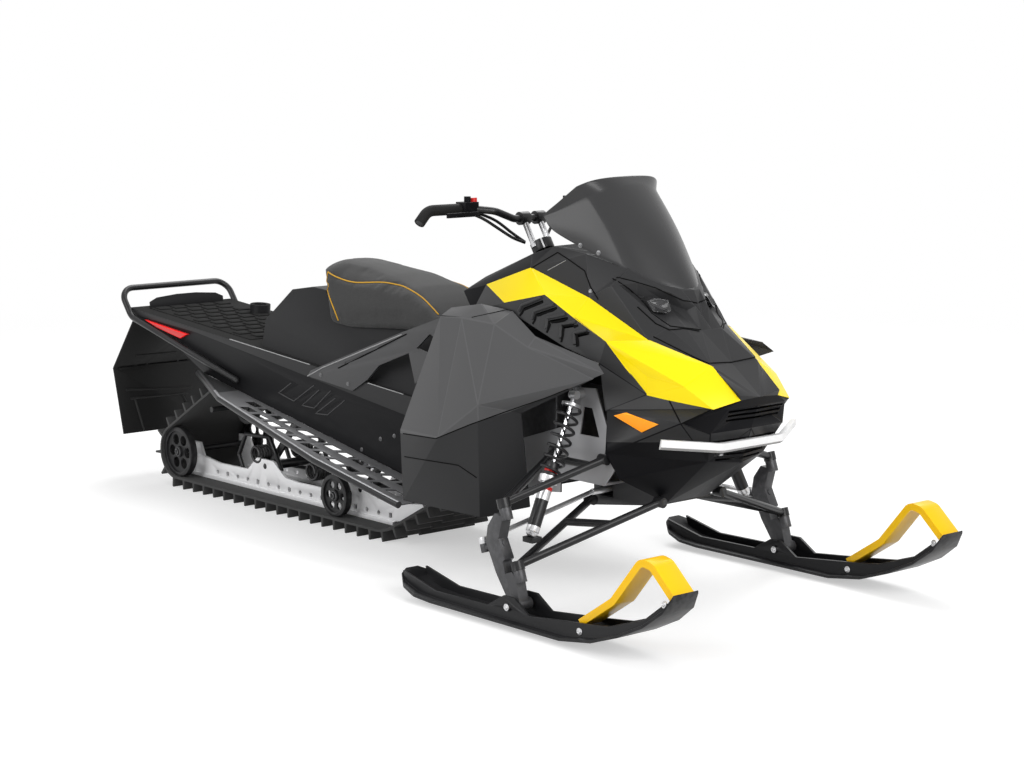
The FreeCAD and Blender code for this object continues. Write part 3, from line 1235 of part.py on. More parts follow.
def hand_grips():
    """Rubber sleeves over the hooked ends of the bar."""
    points = bar_points()
    grips = bent_tube(points, GRIP_RADIUS, BAR_BEND).common(grip_cutter())
    bar = bent_tube(points, BAR_RADIUS, BAR_BEND)
    return both_sides(grips.cut(bar))


def bar_controls():
    """Switch block with its lever inboard of each grip, and the stop button on the right."""
    near = (GRIP_START_SHARE * BODY_HALF) - CONTROL_WIDTH - SEAT_GAP
    middle = cowl_point(BAR_SHARES[3])
    low = V(middle.x - CONTROL_DEPTH / 2, near, middle.z - CONTROL_HEIGHT / 2)
    block = box_between(low, low + V(CONTROL_DEPTH, CONTROL_WIDTH, CONTROL_HEIGHT))
    lever_low = V(middle.x + CONTROL_DEPTH / 2 - LEVER_DEPTH, near + CONTROL_WIDTH / 2, low.z)
    arm = box_between(lever_low, lever_low + V(LEVER_REACH, LEVER_HEIGHT, LEVER_HEIGHT))
    blade_low = lever_low + V(LEVER_REACH - LEVER_DEPTH, 0, 0)
    blade = box_between(blade_low, blade_low + V(LEVER_DEPTH, LEVER_LENGTH, LEVER_HEIGHT))
    bar = bent_tube(bar_points(), BAR_RADIUS, BAR_BEND)
    side = fused([block, arm, blade]).cut(bar)
    top = V(middle.x, -near - CONTROL_WIDTH / 2, middle.z + CONTROL_HEIGHT / 2)
    button = rod(top, top + V(0, 0, SWITCH_HEIGHT), SWITCH_RADIUS)
    return Part.makeCompound([side, fused([mirrored(side), button])])


def ground_belt():
    """Height of the belt's inner face above the ground."""
    return LUG_HEIGHT + BELT


def rear_centre():
    return V(tunnel_x(REAR_AXLE_SHARE), 0, ground_belt() + REAR_WHEEL_RADIUS)


def tangent(first, first_radius, second, second_radius):
    """Outer tangent that keeps both circles on its left, as its two touching points."""
    along = second - first
    turn = math.asin((first_radius - second_radius) / along.Length)
    heading = math.atan2(along.z, along.x) + turn
    out = V(math.sin(heading), 0, -math.cos(heading))
    return first + out * first_radius, second + out * second_radius


def track_circles():
    """Centres and radii of the belt's inner turns, in order along its lower run first."""
    drive = tunnel_point(DRIVE_SHARES, 0)
    top = tunnel_point(TOP_WHEEL_SHARES, 0)
    bend_share = 2.6
    bend_radius = BOGIE_RADIUS * bend_share
    bend = V(tunnel_x(FRONT_BEND_SHARE), 0, ground_belt() + bend_radius)
    return [(rear_centre(), REAR_WHEEL_RADIUS), (bend, bend_radius), (drive, DRIVE_RADIUS),
            (top, TOP_WHEEL_RADIUS)]


def track_runs(offset):
    """Turns and straight runs round the wheels, a given distance outside the belt's inner face.

    Each turn is (centre, radius, start angle, sweep) and each straight run is (start, end).
    """
    circles = [(centre, radius + offset) for centre, radius in track_circles()]
    straights = []
    for index, (centre, radius) in enumerate(circles):
        after, after_radius = circles[(index + 1) % len(circles)]
        straights.append(tangent(centre, radius, after, after_radius))
    runs = []
    for index, (centre, radius) in enumerate(circles):
        entry = straights[index - 1][1] - centre
        leave = straights[index][0] - centre
        start = math.atan2(entry.z, entry.x)
        sweep = (math.atan2(leave.z, leave.x) - start) % (2 * math.pi)
        runs.append((centre, radius, start, sweep))
        runs.append(straights[index])
    return runs


def on_circle(centre, radius, angle):
    return centre + V(math.cos(angle), 0, math.sin(angle)) * radius


def track_loop(offset):
    """Closed wire of the belt at one offset from its inner face."""
    edges = []
    for run in track_runs(offset):
        if len(run) == 2:
            edges.append(Part.LineSegment(run[0], run[1]).toShape())
            continue
        centre, radius, start, sweep = run
        points = [on_circle(centre, radius, start + sweep * part / 2) for part in range(3)]
        edges.append(Part.Arc(*points).toShape())
    return Part.Wire(edges)


def run_length(run):
    return (run[1] - run[0]).Length if len(run) == 2 else run[1] * run[3]


def belt_places(pitch_share):
    """Points and outward directions on the belt's outer face, one to each lug pitch."""
    runs = track_runs(BELT)
    total = sum(run_length(run) for run in runs)
    count = round(total / LUG_PITCH)
    places = []
    for index in range(count):
        distance = total * (index + pitch_share) / count
        for run in runs:
            if distance <= run_length(run):
                break
            distance = distance - run_length(run)
        if len(run) == 2:
            along = (run[1] - run[0]).normalize()
            places.append((run[0] + along * distance, V(along.z, 0, -along.x)))
            continue
        centre, radius, start = run[:-1]
        angle = start + distance / radius
        places.append((on_circle(centre, radius, angle), V(math.cos(angle), 0, math.sin(angle))))
    return places


def lug(point, out, near, far):
    along = V(-out.z, 0, out.x) * (LUG_THICKNESS / 2)
    taper_share = 0.6
    root = point - out * LUG_ROOT
    tip = point + out * LUG_HEIGHT
    outline = [root - along, root + along, tip + along * taper_share, tip - along * taper_share]
    return side_plate(outline, near, far)


def track():
    """Belt with three staggered rows of lugs."""
    half = TRACK_WIDTH / 2
    belt = Part.Face(track_loop(BELT)).cut(Part.Face(track_loop(0)))
    belt = belt.extrude(V(0, TRACK_WIDTH, 0)).translated(V(0, -half, 0))
    centre_share, gap_share = 0.36, 0.12
    first_share, second_share = 0.25, 0.75
    lugs = []
    for point, out in belt_places(first_share):
        lugs.append(lug(point, out, -half * centre_share, half * centre_share))
    for point, out in belt_places(second_share):
        inner = half * (centre_share + gap_share)
        lugs.append(lug(point, out, inner, half))
        lugs.append(lug(point, out, -half, -inner))
    return belt.multiFuse(lugs)


def wheel(centre, radius, width, axle):
    """Spoked wheel on a Y axle: rim, thin web with round holes, hub."""
    half = width / 2
    rim = sleeve(centre - V(0, half, 0), centre + V(0, half, 0), radius, radius - WHEEL_RIM)
    web = rod(centre - V(0, WHEEL_WEB / 2, 0), centre + V(0, WHEEL_WEB / 2, 0), radius - WHEEL_RIM)
    hub = rod(centre - V(0, half, 0), centre + V(0, half, 0), WHEEL_HUB_RADIUS)
    pitch_radius = (radius - WHEEL_RIM + WHEEL_HUB_RADIUS) / 2
    hole_share = 0.34
    hole_radius = (radius - WHEEL_RIM - WHEEL_HUB_RADIUS) * hole_share
    for index in range(WHEEL_HOLES):
        angle = 2 * math.pi * index / WHEEL_HOLES
        spot = centre + V(math.cos(angle), 0, math.sin(angle)) * pitch_radius
        web = web.cut(rod(spot - V(0, width, 0), spot + V(0, width, 0), hole_radius))
    body = fused([rim, web, hub])
    return body.cut(rod(centre - V(0, width, 0), centre + V(0, width, 0), axle))


def rear_idlers():
    centre = rear_centre()
    radius = REAR_WHEEL_RADIUS - SEAT_GAP
    left = wheel(centre + V(0, REAR_WHEEL_Y, 0), radius, REAR_WHEEL_WIDTH, AXLE_RADIUS)
    end = REAR_WHEEL_Y + REAR_WHEEL_WIDTH / 2
    axle = rod(centre - V(0, end, 0), centre + V(0, end, 0), AXLE_RADIUS)
    return fused([left, mirrored(left), axle])


def bogie_wheels():
    x = tunnel_x(BOGIE_SHARES[0])
    centre = V(x, 0, ground_belt() + BOGIE_RADIUS)
    left = wheel(centre + V(0, BOGIE_Y, 0), BOGIE_RADIUS - SEAT_GAP, BOGIE_WIDTH, AXLE_RADIUS)
    end = BOGIE_Y + BOGIE_WIDTH / 2
    axle = rod(centre - V(0, end, 0), centre + V(0, end, 0), AXLE_RADIUS)
    return fused([left, mirrored(left), axle])


def top_wheels():
    centre = tunnel_point(TOP_WHEEL_SHARES, 0)
    left = wheel(centre + V(0, TOP_WHEEL_Y, 0), TOP_WHEEL_RADIUS - SEAT_GAP, BOGIE_WIDTH, AXLE_RADIUS)
    end = TUNNEL_HALF - SHEET
    axle = rod(centre - V(0, end, 0), centre + V(0, end, 0), AXLE_RADIUS)
    return fused([left, mirrored(left), axle])


def drive_axle():
    """Drive shaft between the tunnel walls with two toothed drive wheels."""
    centre = tunnel_point(DRIVE_SHARES, 0)
    end = TUNNEL_HALF - SHEET
    axle = rod(centre - V(0, end, 0), centre + V(0, end, 0), AXLE_RADIUS)
    left = wheel(centre + V(0, DRIVE_WHEEL_Y, 0), DRIVE_RADIUS - SEAT_GAP, DRIVE_WHEEL_WIDTH, AXLE_RADIUS)
    return fused([left, mirrored(left), axle])


def rail_point(share):
    """Point of the rails' side view, which is lifted onto the sliders above the belt."""
    foot_share = RAIL_SHARES[1][1]
    lift = ground_belt() + SEAT_GAP + SLIDER_HEIGHT - foot_share * COWL_HEIGHT
    return tunnel_point(share, 0) + V(0, 0, lift)


def rail_holes():
    """Row of lightening holes along a rail, alternately round and square."""
    front, back = [rail_point((share, RAIL_SHARES[1][1])) for share in RAIL_HOLE_RUN_SHARES]
    count = int((front.x - back.x) / RAIL_HOLE_PITCH)
    holes = []
    for index in range(count):
        x, z = front.x - index * RAIL_HOLE_PITCH, front.z + RAIL_HOLE_DROP
        if index % 3:
            holes.append(cross_rod(x, z, 0, BODY_HALF, RAIL_HOLE_RADIUS))
            continue
        holes.append(box_between(V(x - RAIL_HOLE_RADIUS, 0, z - RAIL_HOLE_RADIUS),
                                 V(x + RAIL_HOLE_RADIUS, BODY_HALF, z + RAIL_HOLE_RADIUS)))
    return holes


def slide_rail():
    """Side rail with its low-friction slider, lifted at the front like a runner."""
    profile = [rail_point(share) for share in RAIL_SHARES]
    plate = side_plate(profile, RAIL_Y - RAIL_THICKNESS / 2, RAIL_Y + RAIL_THICKNESS / 2).cut(rail_holes())
    first, second = profile[1], profile[2]
    slider = side_plate([first, second, second - V(0, 0, SLIDER_HEIGHT), first - V(0, 0, SLIDER_HEIGHT)],
                        RAIL_Y - SLIDER_WIDTH / 2, RAIL_Y + SLIDER_WIDTH / 2)
    rail = fused([plate, slider])
    rear = rear_centre()
    bogie = V(tunnel_x(BOGIE_SHARES[0]), 0, ground_belt() + BOGIE_RADIUS)
    for centre in (rear, bogie):
        rail = rail.cut(rod(centre, centre + V(0, BODY_HALF, 0), AXLE_RADIUS))
    for share in (FRONT_ARM_SHARES[1], REAR_ARM_SHARES[1]):
        centre = rail_point(share)
        rail = rail.cut(rod(centre, centre + V(0, BODY_HALF, 0), AXLE_RADIUS))
    return rail


def slide_rails():
    return both_sides(slide_rail())


def skid_arms():
    """Front and rear swing arms between the tunnel and the rails."""
    shapes = []
    arm_y = RAIL_Y - RAIL_THICKNESS
    for top_share, foot_share in (FRONT_ARM_SHARES, REAR_ARM_SHARES):
        top, foot = tunnel_point(top_share, 0), rail_point(foot_share)
        end = TUNNEL_HALF - SHEET
        outer = RAIL_Y + RAIL_THICKNESS / 2
        pieces = [rod(top - V(0, end, 0), top + V(0, end, 0), AXLE_RADIUS),
                  rod(foot - V(0, outer, 0), foot + V(0, outer, 0), AXLE_RADIUS),
                  rod(top - V(0, arm_y, 0), top + V(0, arm_y, 0), SKID_CROSS_RADIUS),
                  rod(foot - V(0, arm_y - PLATE, 0), foot + V(0, arm_y - PLATE, 0), SKID_CROSS_RADIUS)]
        along = (foot - top).normalize()
        half = V(along.z, 0, -along.x) * ARM_RADIUS
        outline = [top + half, foot + half, foot - half, top - half]
        bar = side_plate(outline, arm_y - PLATE * 3, arm_y - PLATE)
        shapes.append(fused(pieces + [bar, mirrored(bar)]))
    return Part.makeCompound(shapes)


def skid_shock():
    """Damper between the two swing arms."""
    start_share, end_share = 0.30, 0.78
    front_foot, rear_top = rail_point(FRONT_ARM_SHARES[1]), tunnel_point(REAR_ARM_SHARES[0], 0)
    clear = SKID_CROSS_RADIUS + SEAT_GAP
    along = (rear_top - front_foot).normalize()
    first = front_foot + along * clear
    second = rear_top - along * clear
    start = first + (second - first) * start_share
    end = first + (second - first) * end_share
    return fused([rod(first, second, SHOCK_SHAFT_RADIUS), rod(start, end, SKID_SHOCK_RADIUS)])


NODES = {
    "tunnel": tunnel,
    "rear_bumper": rear_bumper,
    "snow_flap": snow_flap,
    "tail_lamps": tail_lamps,
    "seat_base": seat_base,
    "seat_cushion": seat_cushion,
    "console": console,
    "hood": hood,
    "headlights": headlights,
    "windshield": windshield,
    "front_bumper": front_bumper,
    "side_reflectors": side_reflectors,
    "front_frame": front_frame,
    "engine_block": engine_block,
    "upper_arms": upper_arms,
    "lower_arms": lower_arms,
    "front_shocks": front_shocks,
    "front_springs": front_springs,
    "tie_rods": tie_rods,
    "handlebar": handlebar,
    "hand_grips": hand_grips,
    "bar_controls": bar_controls,
    "track": track,
    "rear_idlers": rear_idlers,
    "bogie_wheels": bogie_wheels,
    "top_wheels": top_wheels,
    "drive_axle": drive_axle,
    "slide_rails": slide_rails,
    "skid_arms": skid_arms,
    "skid_shock": skid_shock,
    "nose_fascia": nose_fascia,
    "belly_pan": belly_pan,
    "running_boards": lambda: both_sides(running_board()),
    "side_braces": lambda: both_sides(side_brace()),
    "upper_panels": lambda: both_sides(cowl_panel(YELLOW_FACES)),
    "vent_panels": lambda: both_sides(vent_panel()),
    "side_panels": lambda: both_sides(side_panel()),
}
SIDE_NODES = {
    "spindle": spindle,
    "ski": ski,
    "wear_bar": wear_bar,
    "ski_loop": ski_loop,
}

FRONT_REACH = SKI_SOLE_SHARES[-1][0] * SKI_LENGTH
REAR_REACH = -tunnel_x(FLAP_KNEE_SHARES[0]) + FLAP_THICKNESS
ORIGIN_SHIFT = V((REAR_REACH - FRONT_REACH) / 2, 0, 0)

os.makedirs("parts", exist_ok=True)


def save(name, shape):
    shape.translated(ORIGIN_SHIFT).exportStep(f"parts/{name}.step")


for name, make in NODES.items():
    save(name, make())
for name, make in SIDE_NODES.items():
    left = make()
    save(f"{name}_left", left)
    save(f"{name}_right", mirrored(left))
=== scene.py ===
"""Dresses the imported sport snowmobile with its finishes, saddle, lamps, controls and studio."""

import json
import logging
import math
from dataclasses import dataclass, replace
from enum import Enum
from typing import Callable, Iterable, Sequence

import bmesh
import bpy
from bpy.types import Material, Node, NodeSocket, NodeTree, Object
from mathutils import Matrix, Vector


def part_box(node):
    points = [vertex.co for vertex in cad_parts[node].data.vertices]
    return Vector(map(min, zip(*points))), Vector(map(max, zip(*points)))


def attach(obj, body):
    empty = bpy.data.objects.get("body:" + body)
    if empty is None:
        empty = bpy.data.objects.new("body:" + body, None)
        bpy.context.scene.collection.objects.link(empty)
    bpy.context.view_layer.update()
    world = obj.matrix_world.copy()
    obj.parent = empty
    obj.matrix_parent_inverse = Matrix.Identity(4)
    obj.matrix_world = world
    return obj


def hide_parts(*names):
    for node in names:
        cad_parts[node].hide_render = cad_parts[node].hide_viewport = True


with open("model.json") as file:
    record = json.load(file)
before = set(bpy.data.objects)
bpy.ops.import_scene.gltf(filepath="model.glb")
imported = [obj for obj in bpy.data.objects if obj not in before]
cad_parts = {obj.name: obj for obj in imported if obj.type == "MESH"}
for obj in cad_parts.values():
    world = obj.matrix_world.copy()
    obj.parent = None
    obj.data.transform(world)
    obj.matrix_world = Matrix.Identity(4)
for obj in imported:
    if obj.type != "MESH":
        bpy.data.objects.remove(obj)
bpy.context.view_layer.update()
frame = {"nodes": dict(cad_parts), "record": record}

LOG = logging.getLogger("snowmobile")
MM = 0.001
BOLTS_X = 1.0095  # the ski bolts ahead of the origin; the machine's places are measured from them
SIDES = (1, -1)  # the rider's left and right
CAST = 0.12  # metres that a ray starts off a surface
SINGLE = 9.0  # a step in metres that is longer than any line, which leaves only the places given
OUTWARD = (0.745, 0.650, 0.150)
LEVEL = (0.0, 1.0, 0.0)
AHEAD = (1.0, 0.0, 0.0)
Colour = tuple[float, float, float]
Spot = tuple[float, float, float]


def place(x: float, y: float, z: float) -> Vector:
    """A place in metres, from millimetres ahead of, left of and above the ground under the ski bolts."""
    return Vector((BOLTS_X + x * MM, y * MM, z * MM))


def mirrored(spots: Iterable[Spot], side: int) -> list[Vector]:
    """Places given for the rider's left, on the left (1) or the right (-1)."""
    return [place(x, y * side, z) for x, y, z in spots]


def both(*lines: Sequence[Spot]) -> list[list[Vector]]:
    """Lines given for the rider's left, each on both sides."""
    return [mirrored(line, side) for line in lines for side in SIDES]


class Body(Enum):
    """The bodies that pieces ride on."""

    CHASSIS = "chassis"
    HANDLEBAR = "handlebar"
    TIE_RODS = "tie_rods"
    SPINDLE_LEFT = "spindle_left"
    SPINDLE_RIGHT = "spindle_right"
    SKI_LEFT = "ski_left"
    SKI_RIGHT = "ski_right"

    @staticmethod
    def of(node: str) -> "Body":
        """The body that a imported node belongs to."""
        bodies = frame["record"]["behaviour"]["bodies"]
        return next(Body(name) for name, members in bodies.items() if node in members)


def only(*pieces: Object) -> None:
    """Selects objects alone and makes the first active.

    Args:
        *pieces: The objects.
    """
    bpy.ops.object.select_all(action="DESELECT")
    for piece in pieces:
        piece.select_set(True)
    bpy.context.view_layer.objects.active = pieces[0]


def linked(data: object) -> Object:
    """A new object in the scene.

    Args:
        data: Its mesh, curve, lamp or camera.

    Returns:
        The object, named as its data is.
    """
    made = bpy.data.objects.new(data.name, data)
    bpy.context.scene.collection.objects.link(made)
    return made


def primitive(kind: str, **settings: object) -> Object:
    """A new primitive, which is selected alone.

    Args:
        kind: Blender's name of the primitive.
        **settings: The operator's own values.

    Returns:
        The piece.
    """
    bpy.ops.object.select_all(action="DESELECT")
    getattr(bpy.ops.mesh, "primitive_" + kind + "_add")(**settings)
    return bpy.context.object


def apply(piece: Object, kind: str, **settings: object) -> None:
    """Adds one modifier with its settings and applies it.

    Args:
        piece: The mesh object to change.
        kind: Blender's name of the modifier type.
        **settings: Values for the modifier's own properties.
    """
    only(piece)
    modifier = piece.modifiers.new(kind.title(), kind)
    for name, value in settings.items():
        setattr(modifier, name, value)
    bpy.ops.object.modifier_apply(modifier=modifier.name)


def settle(piece: Object) -> None:
    """Moves an object's place, turn and scale into its mesh."""
    only(piece)
    bpy.ops.object.transform_apply(location=True, rotation=True, scale=True)


def edit(piece: Object, kind: str, test: Callable[[object], bool], *steps: Callable[[], object]) -> None:
    """Takes steps in edit mode on the elements of a piece that pass a test, if any does.

    Args:
        piece: The mesh object.
        kind: EDGE or FACE.
        test: Takes a mesh element and says whether to select it.
        *steps: The steps, which take no values.
    """
    only(piece)
    bpy.ops.object.mode_set(mode="EDIT")
    bpy.ops.mesh.select_mode(type=kind)
    bpy.ops.mesh.select_all(action="DESELECT")
    mesh = bmesh.from_edit_mesh(piece.data)
    chosen = [element for element in (mesh.edges if kind == "EDGE" else mesh.faces) if test(element)]
    for element in chosen:
        element.select_set(True)
    bmesh.update_edit_mesh(piece.data)
    for step in steps if chosen else ():
        step()
    bpy.ops.object.mode_set(mode="OBJECT")


def shade(piece: Object, degrees: float) -> None:
    """Shades a piece smooth up to an angle between its faces."""
    only(piece)
    bpy.ops.object.shade_smooth_by_angle(angle=math.radians(degrees))


def join(pieces: Sequence[Object]) -> Object:
    """Joins mesh objects.

    Args:
        pieces: The objects.

    Returns:
        The first, which holds them all.
    """
    only(*pieces)
    bpy.ops.object.join()
    return pieces[0]


def node_copy(node: str) -> Object:
    """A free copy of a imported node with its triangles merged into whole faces.

    Args:
        node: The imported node's name.

    Returns:
        The copy, which rides on nothing yet.
    """
    piece = linked(frame["nodes"][node].data.copy())
    only(piece)
    bpy.ops.object.mode_set(mode="EDIT")
    bpy.ops.mesh.select_all(action="SELECT")
    bpy.ops.mesh.remove_doubles(threshold=0.02 * MM)
    bpy.ops.mesh.dissolve_limited(angle_limit=math.radians(0.8))
    bpy.ops.object.mode_set(mode="OBJECT")
    return piece


def round_edges(piece: Object, width: float, low: float = 30.0, high: float = 180.0, segments: int = 2,
                slot: int = -1) -> None:
    """Bevels the edges whose faces meet between two angles.

    Args:
        piece: The mesh object.
        width: Width of the bevel in millimetres.
        low: Smallest angle between the faces, in degrees.
        high: Largest angle, in degrees.
        segments: Steps across the bevel.
        slot: Material slot of the new faces, or -1 for that of their neighbours.
    """
    least, most = math.radians(low), math.radians(high)

    def meets(edge: bmesh.types.BMEdge) -> bool:
        """Tests an edge.

        Args:
            edge: The edge.

        Returns:
            Whether it is long enough and its two faces meet between the angles.
        """
        if len(edge.link_faces) != 2 or edge.calc_length() < width * MM:
            return False
        return least < edge.calc_face_angle(0.0) <= most

    edit(piece, "EDGE", meets, lambda: bpy.ops.mesh.bevel(
        offset=width * MM, offset_type="OFFSET", segments=segments, material=slot, clamp_overlap=True))


def plate(outline: Sequence[Vector], thickness: float, bevel: float) -> Object:
    """A flat plate with rounded edges.

    Args:
        outline: Its corners in order, in metres.
        thickness: Its thickness in millimetres.
        bevel: Width of the rounding in millimetres.

    Returns:
        The plate.
    """
    piece = primitive("circle", vertices=len(outline), fill_type="NGON")
    for vertex, spot in zip(piece.data.vertices, outline):
        vertex.co = spot
    apply(piece, "SOLIDIFY", thickness=thickness * MM, offset=0.0)
    edit(piece, "FACE", lambda face: True, lambda: bpy.ops.mesh.normals_make_consistent(inside=False))
    round_edges(piece, bevel)
    return piece


def drum(start: Vector, end: Vector, radius: float, rim: float, sides: int = 32, dish: float = 0.0) -> Object:
    """A turned part between two places, with rounded rims and ends that may be dished.

    Args:
        start: The middle of its first end.
        end: The middle of its other end.
        radius: Its radius in millimetres.
        rim: Width of the rounded rims in millimetres.
        sides: How many sides it has.
        dish: How deep the ends are set in, in millimetres.

    Returns:
        The part.
    """
    along = end - start
    piece = primitive("cylinder", vertices=sides, radius=radius * MM, depth=along.length,
                      location=(start + end) / 2, rotation=along.to_track_quat("Z", "Y").to_euler())
    settle(piece)
    round_edges(piece, rim, 60.0)
    if dish:
        edit(piece, "FACE", lambda face: len(face.verts) == sides,
             lambda: bpy.ops.mesh.inset(thickness=radius * MM * 0.3, depth=0.0),
             lambda: bpy.ops.mesh.inset(thickness=rim * MM, depth=-dish * MM))
    return piece


def route(spots: Sequence[Vector], step: float, rounded: bool) -> list[Vector]:
    """Evenly spaced points along a line through given places.

    Args:
        spots: The places, in metres.
        step: Distance between the points in metres.
        rounded: Whether the line bends smoothly at the places.

    Returns:
        The points, first and last place included.
    """
    found = []
    for index, (start, end) in enumerate(zip(spots, spots[1:])):
        before, after = spots[max(index - 1, 0)], spots[min(index + 2, len(spots) - 1)]
        parts = max(1, round((end - start).length / step))
        for share in [part / parts for part in range(parts)]:
            if not rounded:
                found.append(start.lerp(end, share))
                continue
            slope, bow = end - before, before * 2 - start * 5 + end * 4 - after
            twist = start * 3 - before - end * 3 + after
            found.append((start * 2 + slope * share + bow * share ** 2 + twist * share ** 3) / 2)
    return found + [spots[-1].copy()]


def cord(spots: Sequence[Vector], radius: float, rounded: bool = False) -> Object:
    """A round cord, cable or thin tube through given places, as a mesh.

    Args:
        spots: The places, in metres.
        radius: Its radius in millimetres.
        rounded: Whether it bends smoothly at the places.

    Returns:
        The cord.
    """
    points = route(spots, 12 * MM, True) if rounded else list(spots)
    curve = bpy.data.curves.new("cord", "CURVE")
    curve.dimensions = "3D"
    curve.bevel_depth = radius * MM
    curve.bevel_resolution = 2
    curve.use_fill_caps = True
    spline = curve.splines.new("POLY")
    spline.points.add(len(points) - 1)
    for point, spot in zip(spline.points, points):
        point.co = (*spot, 1.0)
    only(linked(curve))
    bpy.ops.object.convert(target="MESH")
    shade(bpy.context.object, 50.0)
    return bpy.context.object


def onto(target: Object, spots: Sequence[Vector], step: float, rounded: bool = False,
         away: Spot = OUTWARD) -> list[tuple[Vector, Vector]]:
    """Points of a line, set down on the outside of a piece.

    Args:
        target: The piece.
        spots: Rough places beside its surface, in metres.
        step: Distance between the points in metres.
        rounded: Whether the line bends smoothly at the places.
        away: The direction that they are set down from, on the rider's left.

    Returns:
        Points on the surface with the surface's outward directions.
    """
    found = []
    for point in route(spots, step, rounded):
        from_side = Vector((away[0], away[1] if point.y > 0.0 else -away[1], away[2])).normalized()
        hit, where, normal, _ = target.ray_cast(point + from_side * CAST, -from_side, distance=2 * CAST)
        if not hit:
            hit, where, normal, _ = target.closest_point_on_mesh(point)
        if hit:
            found.append((where, normal))
    return found


def copies(piece: Object, moves: Sequence[Matrix]) -> Object:
    """Copies of one piece, each with its own mesh, joined into one.

    Args:
        piece: The model, which stands at the origin and is used up.
        moves: Where each copy goes.

    Returns:
        The joined copies.
    """
    made = [linked(piece.data.copy()) for _ in moves]
    for copy, move in zip(made, moves):
        copy.data.transform(move)
    bpy.data.objects.remove(piece)
    return join(made)


def paint(piece: Object, finish: "Finish", test: Callable[[Vector, Vector], bool],
          edges: bool = False) -> None:
    """Gives the faces that pass a test another finish.

    Args:
        piece: The piece.
        finish: The other finish.
        test: Takes a face's middle, in millimetres from the ski bolts, and its direction.
        edges: Whether the rounded edges, which carry the painted edge highlight, take it too.
    """
    piece.data.materials.append(finish.material())
    index = len(piece.data.materials) - 1
    for face in piece.data.polygons:
        middle = (face.center - place(0.0, 0.0, 0.0)) / MM
        if (edges or face.material_index != 1) and test(middle, face.normal):
            face.material_index = index


def cut(piece: Object, spot: Vector, normal: Vector, side: int = 0) -> None:
    """Cuts faces along a plane, on one side (1 or -1) or both (0), so that they can be painted apart."""
    edit(piece, "FACE", lambda face: face.calc_center_median().y * side >= 0.0,
         lambda: bpy.ops.mesh.bisect(plane_co=spot, plane_no=normal))


class Tree:
    """Adds and links nodes in one node tree."""

    def __init__(self, tree: NodeTree) -> None:
        """Keeps the tree and empties it."""
        self.tree = tree
        tree.nodes.clear()

    def add(self, kind: str, settings: dict | None = None, **sockets: object) -> Node:
        """Adds one node.

        Args:
            kind: The node's type name without its ShaderNode prefix.
            settings: The node's own properties.
            **sockets: Input values or sockets, as feed takes them.

        Returns:
            The new node.
        """
        node = self.tree.nodes.new("ShaderNode" + kind)
        for name, value in (settings or {}).items():
            setattr(node, name, value)
        for name, value in sockets.items():
            self.feed(node, name, value)
        return node

    def feed(self, node: Node, name: str, value: object) -> None:
        """Sets or links one input of a node.

        Args:
            node: The node.
            name: The input's name with _ for a space, or n and its number.
            value: A socket, a colour of three parts or a plain value.
        """
        socket = node.inputs[int(name[1:]) if name[1:].isdigit() else name.replace("_", " ")]
        if isinstance(value, NodeSocket):
            self.tree.links.new(value, socket)
        else:
            socket.default_value = (*value, 1.0) if socket.type == "RGBA" else value

    def math(self, operation: str, first: object, second: object, clamp: bool = False) -> NodeSocket:
        """The result of one operation on two values."""
        return self.add("Math", {"operation": operation, "use_clamp": clamp}, n0=first, n1=second).outputs[0]

    def blend(self, factor: object, first: object, second: object) -> NodeSocket:
        """A mix of two colours."""
        return self.add("Mix", {"data_type": "RGBA"}, Factor=factor, n6=first, n7=second).outputs[2]

    def ramp(self, value: NodeSocket, low: float, high: float, kind: str = "LINEAR") -> NodeSocket:
        """A value stretched so that two limits become 0 and 1."""
        return self.add("MapRange", {"interpolation_type": kind}, Value=value, From_Min=low,
                        From_Max=high).outputs[0]

    def noise(self, scale: object, detail: float, where: NodeSocket | None = None) -> NodeSocket:
        """Noise over a piece."""
        where = where or self.add("TexCoord").outputs["Object"]
        return self.add("TexNoise", Vector=where, Scale=scale, Detail=detail).outputs["Fac"]


class Effect(Tree):
    """A node group that materials share."""

    COLOURS = ("Colour", "Tint", "Worn", "Crease")

    def __init__(self, name: str, *inputs: str) -> None:
        """Makes the group.

        Args:
            name: The group's name.
            *inputs: Names of its inputs.
        """
        super().__init__(bpy.data.node_groups.new(name, "ShaderNodeTree"))
        self.sockets("INPUT", inputs)
        self.enter = self.tree.nodes.new("NodeGroupInput").outputs

    def sockets(self, direction: str, labels: Iterable[str]) -> None:
        """Makes the group's sockets of one direction.

        Args:
            direction: INPUT or OUTPUT.
            labels: Their names.
        """
        for label in labels:
            kind = "NodeSocketColor" if label in self.COLOURS else "NodeSocketFloat"
            self.tree.interface.new_socket(label, in_out=direction, socket_type=kind)

    def scatter(self, value: NodeSocket) -> NodeSocket:
        """The group's roughness, spread by a value about its middle."""
        share = self.math("MULTIPLY", self.math("SUBTRACT", value, 0.5), self.enter["Spread"])
        return self.math("ADD", share, self.enter["Roughness"])

    def leave(self, **outputs: NodeSocket) -> NodeTree:
        """Ends the group.

        Args:
            **outputs: What its named outputs give.

        Returns:
            The group.
        """
        self.sockets("OUTPUT", outputs)
        last = self.tree.nodes.new("NodeGroupOutput")
        for label, socket in outputs.items():
            self.feed(last, label, socket)
        return self.tree


def surface_grain() -> NodeTree:
    """Cloudy tint and roughness with a fine grain for the bump.

    Returns:
        The group.
    """
    group = Effect("surface_grain", "Colour", "Tint", "Roughness", "Spread", "Patch Scale", "Grain Scale")
    patches = group.noise(group.enter["Patch Scale"], 4.0)
    return group.leave(Colour=group.blend(patches, group.enter["Colour"], group.enter["Tint"]),
                       Roughness=group.scatter(patches), Height=group.noise(group.enter["Grain Scale"], 2.0))


